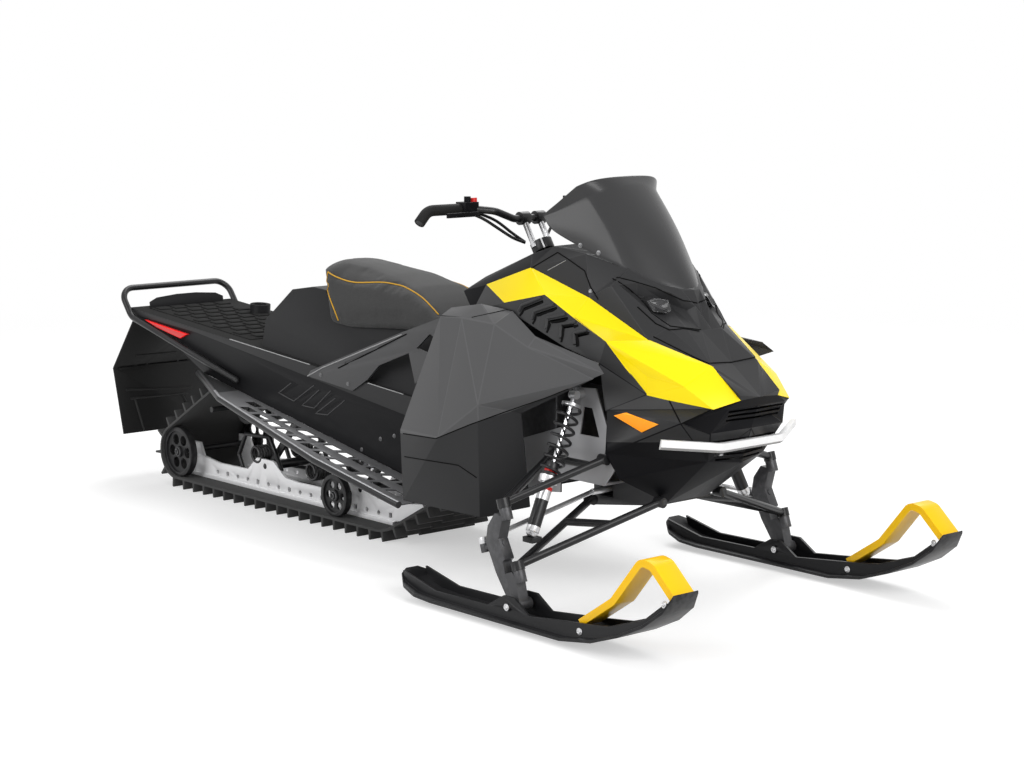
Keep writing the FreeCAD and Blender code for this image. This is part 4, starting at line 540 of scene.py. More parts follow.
def edge_wear() -> NodeTree:
    """Rubbed edges, broken up by noise.

    Returns:
        The group.
    """
    group = Effect("edge_wear", "Colour", "Worn", "Amount")
    edge = group.ramp(group.add("NewGeometry").outputs["Pointiness"], 0.515, 0.60)
    worn = group.math("MULTIPLY", edge, group.ramp(group.noise(60.0, 5.0), 0.40, 0.62))
    mask = group.math("MULTIPLY", worn, group.enter["Amount"], clamp=True)
    return group.leave(Colour=group.blend(mask, group.enter["Colour"], group.enter["Worn"]))


def pebble() -> NodeTree:
    """Pebbled vinyl grain as a height, with a darker colour in its creases as painted shade.

    Returns:
        The group.
    """
    group = Effect("pebble", "Colour", "Crease", "Scale")
    cells = group.add("TexVoronoi", {"feature": "DISTANCE_TO_EDGE"}, Scale=group.enter["Scale"],
                      Vector=group.add("TexCoord").outputs["Object"])
    raised = group.ramp(cells.outputs["Distance"], 0.0, 0.25)
    return group.leave(Colour=group.blend(raised, group.enter["Crease"], group.enter["Colour"]),
                       Height=raised)


def streaks() -> NodeTree:
    """Long rolling or brushing marks along X.

    Returns:
        The group.
    """
    group = Effect("streaks", "Roughness", "Spread", "Scale")
    stretch = group.add("Mapping", Vector=group.add("TexCoord").outputs["Object"], Scale=(0.04, 1.0, 1.0))
    lines = group.noise(group.enter["Scale"], 3.0, stretch.outputs[0])
    return group.leave(Roughness=group.scatter(lines), Height=lines)


@dataclass(frozen=True)
class Finish:
    """A moulded or painted surface with cloudy tint, fine grain, worn edges and a painted edge highlight."""

    name: str
    colour: Colour
    roughness: float = 0.42
    spread: float = 0.05
    specular: float = 0.2
    metallic: float = 0.0
    grain_scale: float = 900.0
    grain_mm: float = 0.05
    # colour of worn edges; for vinyl, the painted shade in the pebble creases
    worn: Colour = (0.1, 0.1, 0.1)
    wear: float = 0.0
    # gain and gloss of the paler edge copy, a painted highlight on rounded edges
    edge_gain: float = 1.2
    edge_polish: float = 0.85
    cloud: float = 0.07
    patch_scale: float = 7.0

    def paler(self, gain: float) -> Colour:
        """The colour times a gain, white at most."""
        return tuple(min(part * gain, 1.0) for part in self.colour)

    def rubbed(self) -> "Finish":
        """The same finish, paler and a little smoother, laid on rounded edges as a painted highlight."""
        return replace(self, name=self.name + "_edge", colour=self.paler(self.edge_gain),
                       roughness=self.roughness * self.edge_polish)

    def material(self) -> Material:
        """The finish's material, built at its first use."""
        return bpy.data.materials.get(self.name) or self.build()

    def shared(self, tree: Tree, effect: Callable[[], NodeTree], **sockets: object) -> object:
        """Places a shared effect, which is built at its first use, and gives its outputs."""
        group = bpy.data.node_groups.get(effect.__name__) or effect()
        return tree.add("Group", {"node_tree": group}, **sockets).outputs

    def layers(self, tree: Tree, shader: Node, grain: object) -> tuple:
        """Colour, roughness and height of the surface.

        Args:
            tree: The material's nodes.
            shader: Its shader.
            grain: The outputs of its surface grain.

        Returns:
            The three sockets or values.
        """
        colour = grain["Colour"]
        if self.wear:
            colour = self.shared(tree, edge_wear, Colour=colour, Worn=self.worn, Amount=self.wear)["Colour"]
        return colour, grain["Roughness"], grain["Height"]

    def build(self) -> Material:
        """Builds the material from its grain and its layers.

        Returns:
            The material.
        """
        material = bpy.data.materials.new(self.name)
        material.use_nodes = True
        tree = Tree(material.node_tree)
        shader = tree.add("BsdfPrincipled", Metallic=self.metallic, Specular_IOR_Level=self.specular)
        tree.add("OutputMaterial", Surface=shader.outputs[0])
        grain = self.shared(tree, surface_grain, Colour=self.colour, Tint=self.paler(1.0 + self.cloud),
                            Roughness=self.roughness, Spread=self.spread, Patch_Scale=self.patch_scale,
                            Grain_Scale=self.grain_scale)
        colour, roughness, height = self.layers(tree, shader, grain)
        bump = tree.add("Bump", Height=height, Strength=1.0, Distance=self.grain_mm * MM)
        tree.feed(shader, "Base Color", colour)
        tree.feed(shader, "Roughness", roughness)
        tree.feed(shader, "Normal", bump.outputs[0])
        return material


@dataclass(frozen=True)
class BrushedFinish(Finish):
    """Metal with rolling marks."""

    spread: float = 0.12
    specular: float = 0.5
    streak_scale: float = 260.0

    def layers(self, tree: Tree, shader: Node, grain: object) -> tuple:
        """Grain under rolling marks.

        Args:
            tree: The material's nodes.
            shader: Its shader.
            grain: Outputs of the grain.

        Returns:
            Colour, roughness and height.
        """
        marks = self.shared(tree, streaks, Roughness=self.roughness, Spread=self.spread,
                            Scale=self.streak_scale)
        return grain["Colour"], marks["Roughness"], marks["Height"]


@dataclass(frozen=True)
class VinylFinish(Finish):
    """Pebbled upholstery."""

    pebble_scale: float = 420.0
    sheen: float = 0.15

    def layers(self, tree: Tree, shader: Node, grain: object) -> tuple:
        """Grain under pebbles.

        Args:
            tree: The material's nodes.
            shader: Its shader.
            grain: Outputs of the grain.

        Returns:
            Colour, roughness and height.
        """
        tree.feed(shader, "Sheen Weight", self.sheen)
        # the pebbles' creases take the darker crease colour: painted shade
        pebbles = self.shared(tree, pebble, Colour=grain["Colour"], Crease=self.worn, Scale=self.pebble_scale)
        return pebbles["Colour"], grain["Roughness"], pebbles["Height"]


@dataclass(frozen=True)
class LensFinish(Finish):
    """Clear or tinted lens with a faint moulded pattern."""

    transmission: float = 0.0
    refraction: float = 1.45
    glow: float = 0.0

    def layers(self, tree: Tree, shader: Node, grain: object) -> tuple:
        """Grain on a lens that may glow.

        Args:
            tree: The material's nodes.
            shader: Its shader.
            grain: Outputs of the grain.

        Returns:
            Colour, roughness and height.
        """
        for name, value in (("Transmission Weight", self.transmission), ("IOR", self.refraction),
                            ("Emission Color", self.colour), ("Emission Strength", self.glow)):
            tree.feed(shader, name, value)
        return grain["Colour"], self.roughness, grain["Height"]


YELLOW = Finish("yellow_gloss", (1.0, 0.74, 0.004), roughness=0.30, spread=0.04, specular=0.22,
                grain_mm=0.03, edge_gain=1.0)
LOOP_YELLOW = Finish("loop_yellow", (1.0, 0.56, 0.004), roughness=0.32, spread=0.04, specular=0.25,
                     grain_mm=0.04)
CHARCOAL = Finish("charcoal_panel", (0.074, 0.074, 0.076))
# the side panels under the gap line: partly a darker lower moulding, partly painted shade
DARK_PANEL = Finish("dark_panel", (0.015, 0.015, 0.016))
MASK_BLACK = Finish("mask_black", (0.028, 0.028, 0.029), roughness=0.38, spread=0.04, specular=0.16,
                    grain_mm=0.04)
# the console's own finish, also laid on the hood's flattest top faces as painted shade
DECK_BLACK = Finish("deck_black", (0.012, 0.012, 0.013), roughness=0.55, specular=0.03, grain_mm=0.08)
JAW_BLACK = Finish("jaw_black", (0.005, 0.005, 0.006), roughness=0.40, specular=0.08, grain_scale=700.0,
                   grain_mm=0.1)
VENT_BLACK = Finish("vent_black", (0.040, 0.040, 0.041), roughness=0.45, specular=0.15, grain_scale=700.0,
                    grain_mm=0.1)
# near-black walls inside the hood: their colour is painted shade of the hood's inside
LINER_BLACK = Finish("liner_black", (0.006, 0.006, 0.006), roughness=0.7, specular=0.05,
                     grain_scale=500.0, grain_mm=0.2)
SEAT_SHELL = Finish("seat_shell", (0.017, 0.017, 0.018), roughness=0.50, specular=0.12,
                    grain_scale=600.0, grain_mm=0.15)
SKI_BLACK = Finish("ski_black", (0.010, 0.010, 0.011), roughness=0.38, spread=0.06, specular=0.22,
                   grain_scale=500.0, grain_mm=0.1, wear=0.4)
TUNNEL_PAINT = Finish("tunnel_paint", (0.010, 0.010, 0.011), specular=0.12, grain_mm=0.04)
BAND_PAINT = Finish("band_paint", (0.026, 0.026, 0.027), grain_mm=0.04)
MAT_RUBBER = Finish("mat_rubber", (0.022, 0.022, 0.022), roughness=0.75, specular=0.02,
                    grain_scale=500.0, grain_mm=0.2)
BOARD_DARK = BrushedFinish("board_dark", (0.075, 0.075, 0.078), metallic=0.4)
# light grey for cords that paint highlights along edges and seams
HIGHLIGHT_GREY = Finish("highlight_grey", (0.34, 0.34, 0.345), specular=0.3, grain_mm=0.03)
# dim grey for cords that paint highlights on the tunnel's recess rims
HIGHLIGHT_DIM = Finish("highlight_dim", (0.070, 0.070, 0.072), grain_mm=0.03)
# paler than the flap's rubber: a painted highlight on its ribs
FLAP_RIB_HIGHLIGHT = Finish("flap_rib", (0.030, 0.030, 0.030), roughness=0.45, grain_scale=250.0, grain_mm=0.2)
GAP_DARK = Finish("gap_dark", (0.004, 0.004, 0.004), roughness=0.7, specular=0.05, grain_mm=0.03)
TUBE_BLACK = Finish("tube_black", (0.012, 0.012, 0.013), roughness=0.30, specular=0.3, grain_mm=0.02)
FORGED_GREY = Finish("forged_grey", (0.050, 0.050, 0.053), spread=0.08, specular=0.5, metallic=0.4,
                     grain_scale=350.0, grain_mm=0.25, worn=(0.20, 0.20, 0.21), wear=0.15)
BRACE_GREY = Finish("brace_grey", (0.062, 0.062, 0.064), specular=0.25)
FRAME_GREY = Finish("frame_grey", (0.30, 0.30, 0.31), roughness=0.45, spread=0.06, specular=0.5,
                    metallic=0.2, grain_scale=300.0, grain_mm=0.15)
CRADLE_DARK = replace(FRAME_GREY, name="cradle_dark", colour=(0.030, 0.030, 0.032), metallic=0.4)
# the running boards' front, paler and more metallic as painted glints
BOARD_GLINT = BrushedFinish("board_painted_glint", (0.30, 0.30, 0.31), roughness=0.40, metallic=0.6)
RAIL_METAL = BrushedFinish("rail_metal", (0.88, 0.88, 0.89), roughness=0.38, metallic=0.15, grain_mm=0.04)
ZINC = BrushedFinish("zinc_steel", (0.55, 0.55, 0.57), roughness=0.30, metallic=1.0, grain_mm=0.03)
CHROME = BrushedFinish("chrome_shaft", (0.75, 0.75, 0.77), roughness=0.12, spread=0.04, metallic=1.0,
                       grain_mm=0.01)
SPRING_BLACK = Finish("spring_black", (0.018, 0.018, 0.019), roughness=0.28, specular=0.4, grain_mm=0.02,
                      worn=(0.15, 0.15, 0.15), wear=0.2)
SATIN_SILVER = BrushedFinish("satin_silver", (0.62, 0.62, 0.63), roughness=0.32, metallic=0.7,
                             grain_mm=0.03)
BOLT_STEEL = Finish("bolt_steel", (0.16, 0.16, 0.165), roughness=0.35, spread=0.08, specular=0.5,
                    metallic=0.7, grain_scale=800.0, grain_mm=0.1, worn=(0.6, 0.6, 0.6), wear=0.4)
TRACK_RUBBER = Finish("track_rubber", (0.026, 0.026, 0.026), roughness=0.60, spread=0.08,
                      grain_scale=400.0, grain_mm=0.3)
WHEEL_BLACK = Finish("wheel_black", (0.015, 0.015, 0.016), spread=0.06, specular=0.25, grain_mm=0.1,
                     wear=0.5)
GRIP_RUBBER = Finish("grip_rubber", (0.012, 0.012, 0.012), roughness=0.66, spread=0.06, specular=0.15,
                     grain_scale=350.0, grain_mm=0.4)
FLAP_RUBBER = Finish("flap_rubber", (0.014, 0.014, 0.014), roughness=0.45, spread=0.06,
                     grain_scale=250.0, grain_mm=0.2)
WHITE_PAINT = Finish("white_paint", (0.84, 0.84, 0.84), roughness=0.35, spread=0.04, specular=0.4,
                     grain_mm=0.03)
SMOKE = Finish("smoked_screen", (0.030, 0.030, 0.031), roughness=0.26, spread=0.02, specular=0.3,
               grain_mm=0.005)
BUMPER_SHADE = Finish("bumper_shade", (0.34, 0.34, 0.34), roughness=0.4, spread=0.04, specular=0.3,
                      grain_mm=0.03)
RED_PAINT = Finish("stop_red", (0.70, 0.015, 0.012), roughness=0.35, specular=0.3, worn=(0.8, 0.2, 0.15),
                   wear=0.2)
RED_LENS = LensFinish("red_lens", (0.88, 0.010, 0.010), roughness=0.25, specular=0.05, grain_scale=160.0,
                      grain_mm=0.3, glow=0.30)
# the reflectors' glow is painted light: they are no lamps
AMBER_LENS = LensFinish("amber_lens", (1.0, 0.30, 0.01), roughness=0.18, specular=0.3, grain_scale=260.0,
                        grain_mm=0.5, glow=0.25)
DARK_LENS = LensFinish("dark_lens", (0.06, 0.06, 0.062), roughness=0.06, specular=0.5, grain_scale=90.0,
                       transmission=0.5)
# its darker crease colour is painted shade in the pebble hollows
SEAT_TOP = VinylFinish("seat_vinyl_top", (0.058, 0.058, 0.058), roughness=0.62, specular=0.03,
                       grain_mm=0.2, worn=(0.040, 0.040, 0.040))
AMBER_THREAD = Finish("amber_thread", (0.62, 0.34, 0.03), roughness=0.6, grain_scale=1500.0, grain_mm=0.2)


class Assembly:
    """A sub-assembly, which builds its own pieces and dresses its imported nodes."""

    def finish(self, piece: Object, name: str, finish: Finish, slot: str = "", node: str = "",
               body: Body = Body.CHASSIS) -> Object:
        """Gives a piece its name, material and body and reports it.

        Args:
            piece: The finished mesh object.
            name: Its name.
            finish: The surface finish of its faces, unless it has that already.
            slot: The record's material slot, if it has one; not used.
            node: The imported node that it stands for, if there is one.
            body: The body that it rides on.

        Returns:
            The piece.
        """
        piece.name = piece.data.name = name
        if piece.data.materials[:1] != [finish.material()]:
            piece.data.materials.clear()
            piece.data.materials.append(finish.material())
        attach(piece, body.value)
        if node:
            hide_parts(node)
        LOG.info("%s rides on %s, %d faces", name, body.value, len(piece.data.polygons))
        return piece

    def dress(self, node: str, finish: Finish, slot: str, facet: float = 0.0, rim: float = 0.8,
              smooth: float = 32.0) -> Object:
        """Copies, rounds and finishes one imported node.

        Args:
            node: The node's name.
            finish: Its surface finish.
            slot: The record's material slot.
            facet: Width of the rounding between its facets in millimetres, or 0.
            rim: Width of the rounding of its sharp edges in millimetres, or 0.
            smooth: Shades smooth up to this angle in degrees.

        Returns:
            The dressed piece.
        """
        piece = node_copy(node)
        piece.data.materials.clear()
        # slot 1 holds the paler edge copy, a painted highlight on the rounded edges
        for kind in (finish, finish.rubbed()):
            piece.data.materials.append(kind.material())
        if facet:
            round_edges(piece, facet, 5.0, 65.0, 3, 1)
        if rim:
            round_edges(piece, rim, 38.0, slot=1)
        shade(piece, smooth)
        return self.finish(piece, "dressed_" + node, finish, slot, node, Body.of(node))

    def seams(self, name: str, target: Object, lines: Iterable[Sequence[Vector]], finish: Finish = GAP_DARK,
              radius: float = 2.0, rounded: bool = False, lift: float = 0.0, away: Spot = OUTWARD) -> None:
        """Lays thin half-sunk cords on a surface as panel gaps and trim lines, as painted shade in slots and
        grooves and as painted highlights along edges and rims.

        Args:
            name: The piece's name.
            target: The piece whose surface they follow.
            lines: Rough places beside the surface, one list for each line.
            finish: Their finish.
            radius: Their radius in millimetres.
            rounded: Whether the lines bend smoothly.
            lift: How far they stand off the surface, in millimetres.
            away: The direction that they are set down from, on the rider's left.
        """
        cords = []
        for line in lines:
            spots = onto(target, line, 10 * MM, rounded, away)
            cords.append(cord([where + normal * lift * MM for where, normal in spots], radius))
        self.finish(join(cords), name, finish)

    def bolts(self, name: str, spots: Sequence[tuple[Vector, Vector]], radius: float, height: float,
              body: Body = Body.CHASSIS, finish: Finish = BOLT_STEEL) -> None:
        """Sets washer-head socket bolts, modelled once, on places of a surface.

        Args:
            name: The piece's name.
            spots: Places and the directions that the heads face.
            radius: The washer's radius in millimetres.
            height: How far the heads stand out, in millimetres.
            body: The body that they ride on.
            finish: Their finish.
        """
        up = Vector((0.0, 0.0, MM))
        washer = drum(up * -1.0, up * height * 0.35, radius, radius * 0.08, 20)
        head = drum(up * height * 0.2, up * height, radius * 0.66, radius * 0.09, 18, height * 0.45)
        model = join([washer, head])
        shade(model, 40.0)
        moves = [Matrix.Translation(spot) @ normal.to_track_quat("Z", "Y").to_matrix().to_4x4()
                 for spot, normal in spots]
        self.finish(copies(model, moves), name, finish, body=body)


@dataclass
class Cowl(Assembly):
    """Hood, yellow and charcoal panels, louvres, screen, lamps, nose, belly pan and bumper."""

    deck_normal: float = 0.93
    deck_seam: tuple = ((-360, 178, 930), (-265, 163, 981), (-216, 166, 965), (-139, 174, 938),
                        (-103, 186, 898), (-64, 192, 865))
    deck_bead: tuple = ((-288, 180, 929), (-226, 167, 961))
    deck_bolt: tuple = ((-98, 190, 886),)
    lamp_brow: tuple = ((50, 150, 851), (104, 132, 808), (139, 113, 792), (161, 81, 795), (189, 47, 788))
    mask_line: tuple = ((115, 151, 774), (232, 108, 725), (269, 92, 711), (271, 0, 706))
    eye_upper: tuple = ((-36, 148, 926), (7, 135, 920), (60, 92, 901), (122, 43, 867), (137, 3, 858))
    eye_lower: tuple = ((-46, 153, 922), (4, 137, 896), (33, 114, 864), (84, 130, 835), (133, 103, 801),
                        (188, 40, 791))
    gap_line: tuple = ((-706, 382, 422), (-532, 399, 432), (-380, 394, 493), (-300, 370, 526),
                       (-207, 348, 563), (-119, 340, 595), (-29, 336, 631))
    low_line: tuple = ((-691, 389, 355), (-559, 397, 362), (-451, 381, 362), (-382, 370, 334))
    latch_line: tuple = ((-516, 273, 780), (-437, 252, 800), (-380, 231, 817))
    gap_turn: float = -532.0
    gap_height: float = 432.0
    gap_slopes: tuple = (0.0575, 0.3956)
    louvres: tuple = (((-250, 851), (-335, 821), (-346, 803)), ((-192, 836), (-271, 810), (-276, 786)),
                      ((-139, 813), (-208, 797), (-205, 768)), ((-92, 796), (-146, 785), (-132, 749)),
                      ((-44, 778), (-85, 766), (-70, 737)))
    # the first row raises the blades; the second lays near-black cords sunk in the louvre slots as painted
    # shade
    louvre_cords: tuple = (("louvre_blades", VENT_BLACK, -6.0, 5.0, 1.5),
                           ("louvre_slot_shade", GAP_DARK, 3.0, 4.5, -2.5))
    panel_half: float = 245.0
    duct_half: float = 78.0
    duct_outline: tuple = ((-640, 600), (-640, 850), (-470, 900), (-330, 905), (-200, 915), (-60, 850),
                           (50, 805), (130, 745), (200, 690), (260, 600))
    liner_spots: tuple = ((235, -150, 480), (235, 150, 480), (235, 150, 630), (235, -150, 630))
    screen_rows: tuple = (
        ((125, 0, 884), (109, 38, 888), (52, 86, 914), (12, 114, 935), (-28, 131, 952), (-100, 150, 977),
         (-185, 176, 1013), (-258, 200, 1049)),
        ((-2, 0, 1053), (-8, 46, 1052), (-30, 89, 1047), (-50, 114, 1044), (-78, 132, 1047),
         (-128, 154, 1057), (-200, 178, 1067), (-273, 202, 1073)),
        ((-120, 0, 1175), (-122, 48, 1172), (-130, 90, 1161), (-150, 120, 1151), (-172, 138, 1144),
         (-200, 154, 1129), (-236, 174, 1107), (-284, 200, 1085)),
        ((-148, 0, 1199), (-150, 50, 1198), (-157, 98, 1195), (-170, 136, 1187), (-190, 160, 1173),
         (-215, 174, 1149), (-245, 187, 1121), (-288, 202, 1089)),
    )
    screen_corner: int = 4
    screen_lip_row: int = 2
    screen_crease: float = 0.55
    screen_sheet: float = 3.5
    screen_bolts: tuple = ((-160, 172, 1009), (-106, 152, 990))
    cell_inset: float = 2.2
    cell_depth: float = 3.0
    fascia_half: float = 186.0
    jaw_line: tuple = ((216, 188, 611), (272, 199, 556), (339, 154, 597))
    jaw_height: float = 481.0
    jaw_start: float = 47.0
    jaw_slope: float = 0.09
    bumper_under: float = -0.25

    def build(self) -> None:
        """Builds the cowl."""
        self.hood()
        self.panels()
        self.ducts()
        self.screen()
        self.lamps()
        self.nose()

    def hood(self) -> None:
        """Dresses the hood and console and lays their seams and bolts."""
        hood = self.dress("hood", MASK_BLACK, "black_plastic", facet=6.0)
        # the flattest top faces take the darker, duller deck finish: painted shade that holds back their
        # bright reflection
        paint(hood, DECK_BLACK, lambda middle, normal: normal.z > self.deck_normal)
        self.dress("console", DECK_BLACK, "black_plastic", facet=5.0)
        self.seams("hood_seams", hood, both(self.deck_seam, self.lamp_brow, self.mask_line))
        self.seams("eye_lines", hood, both(self.eye_upper, self.eye_lower), radius=1.8)
        # light grey cords beside the deck seams: painted highlights
        self.seams("hood_seam_highlights", hood, both(self.deck_bead), HIGHLIGHT_GREY, 1.0)
        self.bolts("hood_bolts", onto(hood, sum(both(self.deck_bolt), []), SINGLE), 6.0, 2.5)

    def panels(self) -> None:
        """Dresses the yellow, louvred and charcoal panels."""
        self.dress("upper_panels", YELLOW, "yellow", facet=4.0)
        vents = self.dress("vent_panels", VENT_BLACK, "black_plastic", facet=3.0)
        for name, finish, shift, radius, lift in self.louvre_cords:
            lines = [[(x + shift, self.panel_half, z - shift) for x, z in line] for line in self.louvres]
            self.seams(name, vents, both(*lines), finish, radius, lift=lift, away=LEVEL)
        side = self.dress("side_panels", CHARCOAL, "grey_panel", facet=12.0)
        for slope in self.gap_slopes:
            cut(side, place(self.gap_turn, 0.0, self.gap_height), Vector((-slope, 0.0, 1.0)))

        def below(middle: Vector, normal: Vector) -> bool:
            """Whether a place is under the gap line."""
            ahead = middle.x - self.gap_turn
            return middle.z < self.gap_height + max(ahead * slope for slope in self.gap_slopes)

        # under the gap line the panel is painted darker: partly a darker lower moulding, partly painted shade
        paint(side, DARK_PANEL, below, edges=True)
        shade(side, 32.0)
        self.seams("panel_gaps", side, both(self.gap_line, self.low_line), radius=1.7)
        self.seams("latch_lines", side, both(self.latch_line), radius=1.3)

    def ducts(self) -> None:
        """Stands the duct walls and a backing plate inside the hood, which close the view through the louvres
        and the grille; real walls, whose near-black colour paints the shade of the hood's inside.
        """
        outlines = both([(x, self.duct_half, z) for x, z in self.duct_outline])
        outlines.append(mirrored(self.liner_spots, 1))
        self.finish(join([plate(outline, 4.0, 1.2) for outline in outlines]), "intake_ducts", LINER_BLACK)

    def screen(self) -> None:
        """Moulds the smoked screen from its rows, with creased corners and a flared lip."""
        rows = [[(x, -y, z) for x, y, z in reversed(row[1:])] + list(row) for row in self.screen_rows]
        across = len(rows[0])
        screen = primitive("grid", x_subdivisions=across - 1, y_subdivisions=len(rows) - 1)
        for vertex, spot in zip(screen.data.vertices, sum(rows, [])):
            vertex.co = place(*spot)
        settle(screen)
        corners = (across // 2 - self.screen_corner, across // 2 + self.screen_corner)

        def creased(edge: bmesh.types.BMEdge) -> bool:
            """Tests an edge.

            Args:
                edge: The edge.

            Returns:
                Whether it lies along a corner or the lip's foot.
            """
            first, second = [divmod(vertex.index, across) for vertex in edge.verts]
            along_corner = first[1] == second[1] and first[1] in corners
            return along_corner or first[0] == second[0] == self.screen_lip_row

        edit(screen, "EDGE", creased,
             lambda: bpy.ops.transform.edge_crease(value=self.screen_crease),
             lambda: bpy.ops.mesh.select_all(action="SELECT"),
             lambda: bpy.ops.mesh.normals_make_consistent(inside=False))
        apply(screen, "SUBSURF", levels=3, render_levels=3)
        apply(screen, "SOLIDIFY", thickness=self.screen_sheet * MM, offset=-1.0)
        round_edges(screen, 1.2, 60.0)
        shade(screen, 50.0)
        self.finish(screen, "screen", SMOKE, "smoke", "windshield")
        self.bolts("screen_bolts", onto(screen, sum(both(self.screen_bolts), []), SINGLE), 7.0, 3.5)

    def lamps(self) -> None:
        """Dresses the headlights and sinks their cells, which take the paler edge finish as painted glints.
        """
        lens = self.dress("headlights", DARK_LENS, "lens", facet=3.0)
        # the sunk cells take the paler edge copy of the lens finish: painted glints in the lamps
        lens.active_material_index = 1
        edit(lens, "FACE", lambda face: face.normal.x > 0.5 and face.calc_area() > 400 * MM * MM,
             lambda: bpy.ops.mesh.subdivide(number_cuts=2),
             lambda: bpy.ops.mesh.inset(thickness=self.cell_inset * MM, depth=0.0, use_individual=True),
             lambda: bpy.ops.mesh.inset(thickness=1.2 * MM, depth=-self.cell_depth * MM,
                                        use_individual=True),
             lambda: bpy.ops.object.material_slot_assign())

    def nose(self) -> None:
        """Dresses the nose, belly pan, bumper and reflectors."""
        nose = self.dress("nose_fascia", JAW_BLACK, "black_plastic", facet=4.0)
        paint(nose, MASK_BLACK, lambda middle, normal: abs(middle.y) > self.fascia_half)
        pan = self.dress("belly_pan", JAW_BLACK, "black_plastic", facet=6.0)
        cut(pan, place(self.jaw_start, 0.0, self.jaw_height), Vector((-self.jaw_slope, 0.0, 1.0)))
        paint(pan, MASK_BLACK, lambda middle, normal:
                   middle.z > self.jaw_height + (middle.x - self.jaw_start) * self.jaw_slope)
        shade(pan, 32.0)
        bumper = self.dress("front_bumper", WHITE_PAINT, "white_tube", rim=1.5)
        paint(bumper, BUMPER_SHADE, lambda middle, normal: normal.z < self.bumper_under)
        # the amber reflectors glow as painted light, though they are no lamps
        self.dress("side_reflectors", AMBER_LENS, "amber", rim=1.2)
        self.seams("nose_seams", nose, both(self.jaw_line))


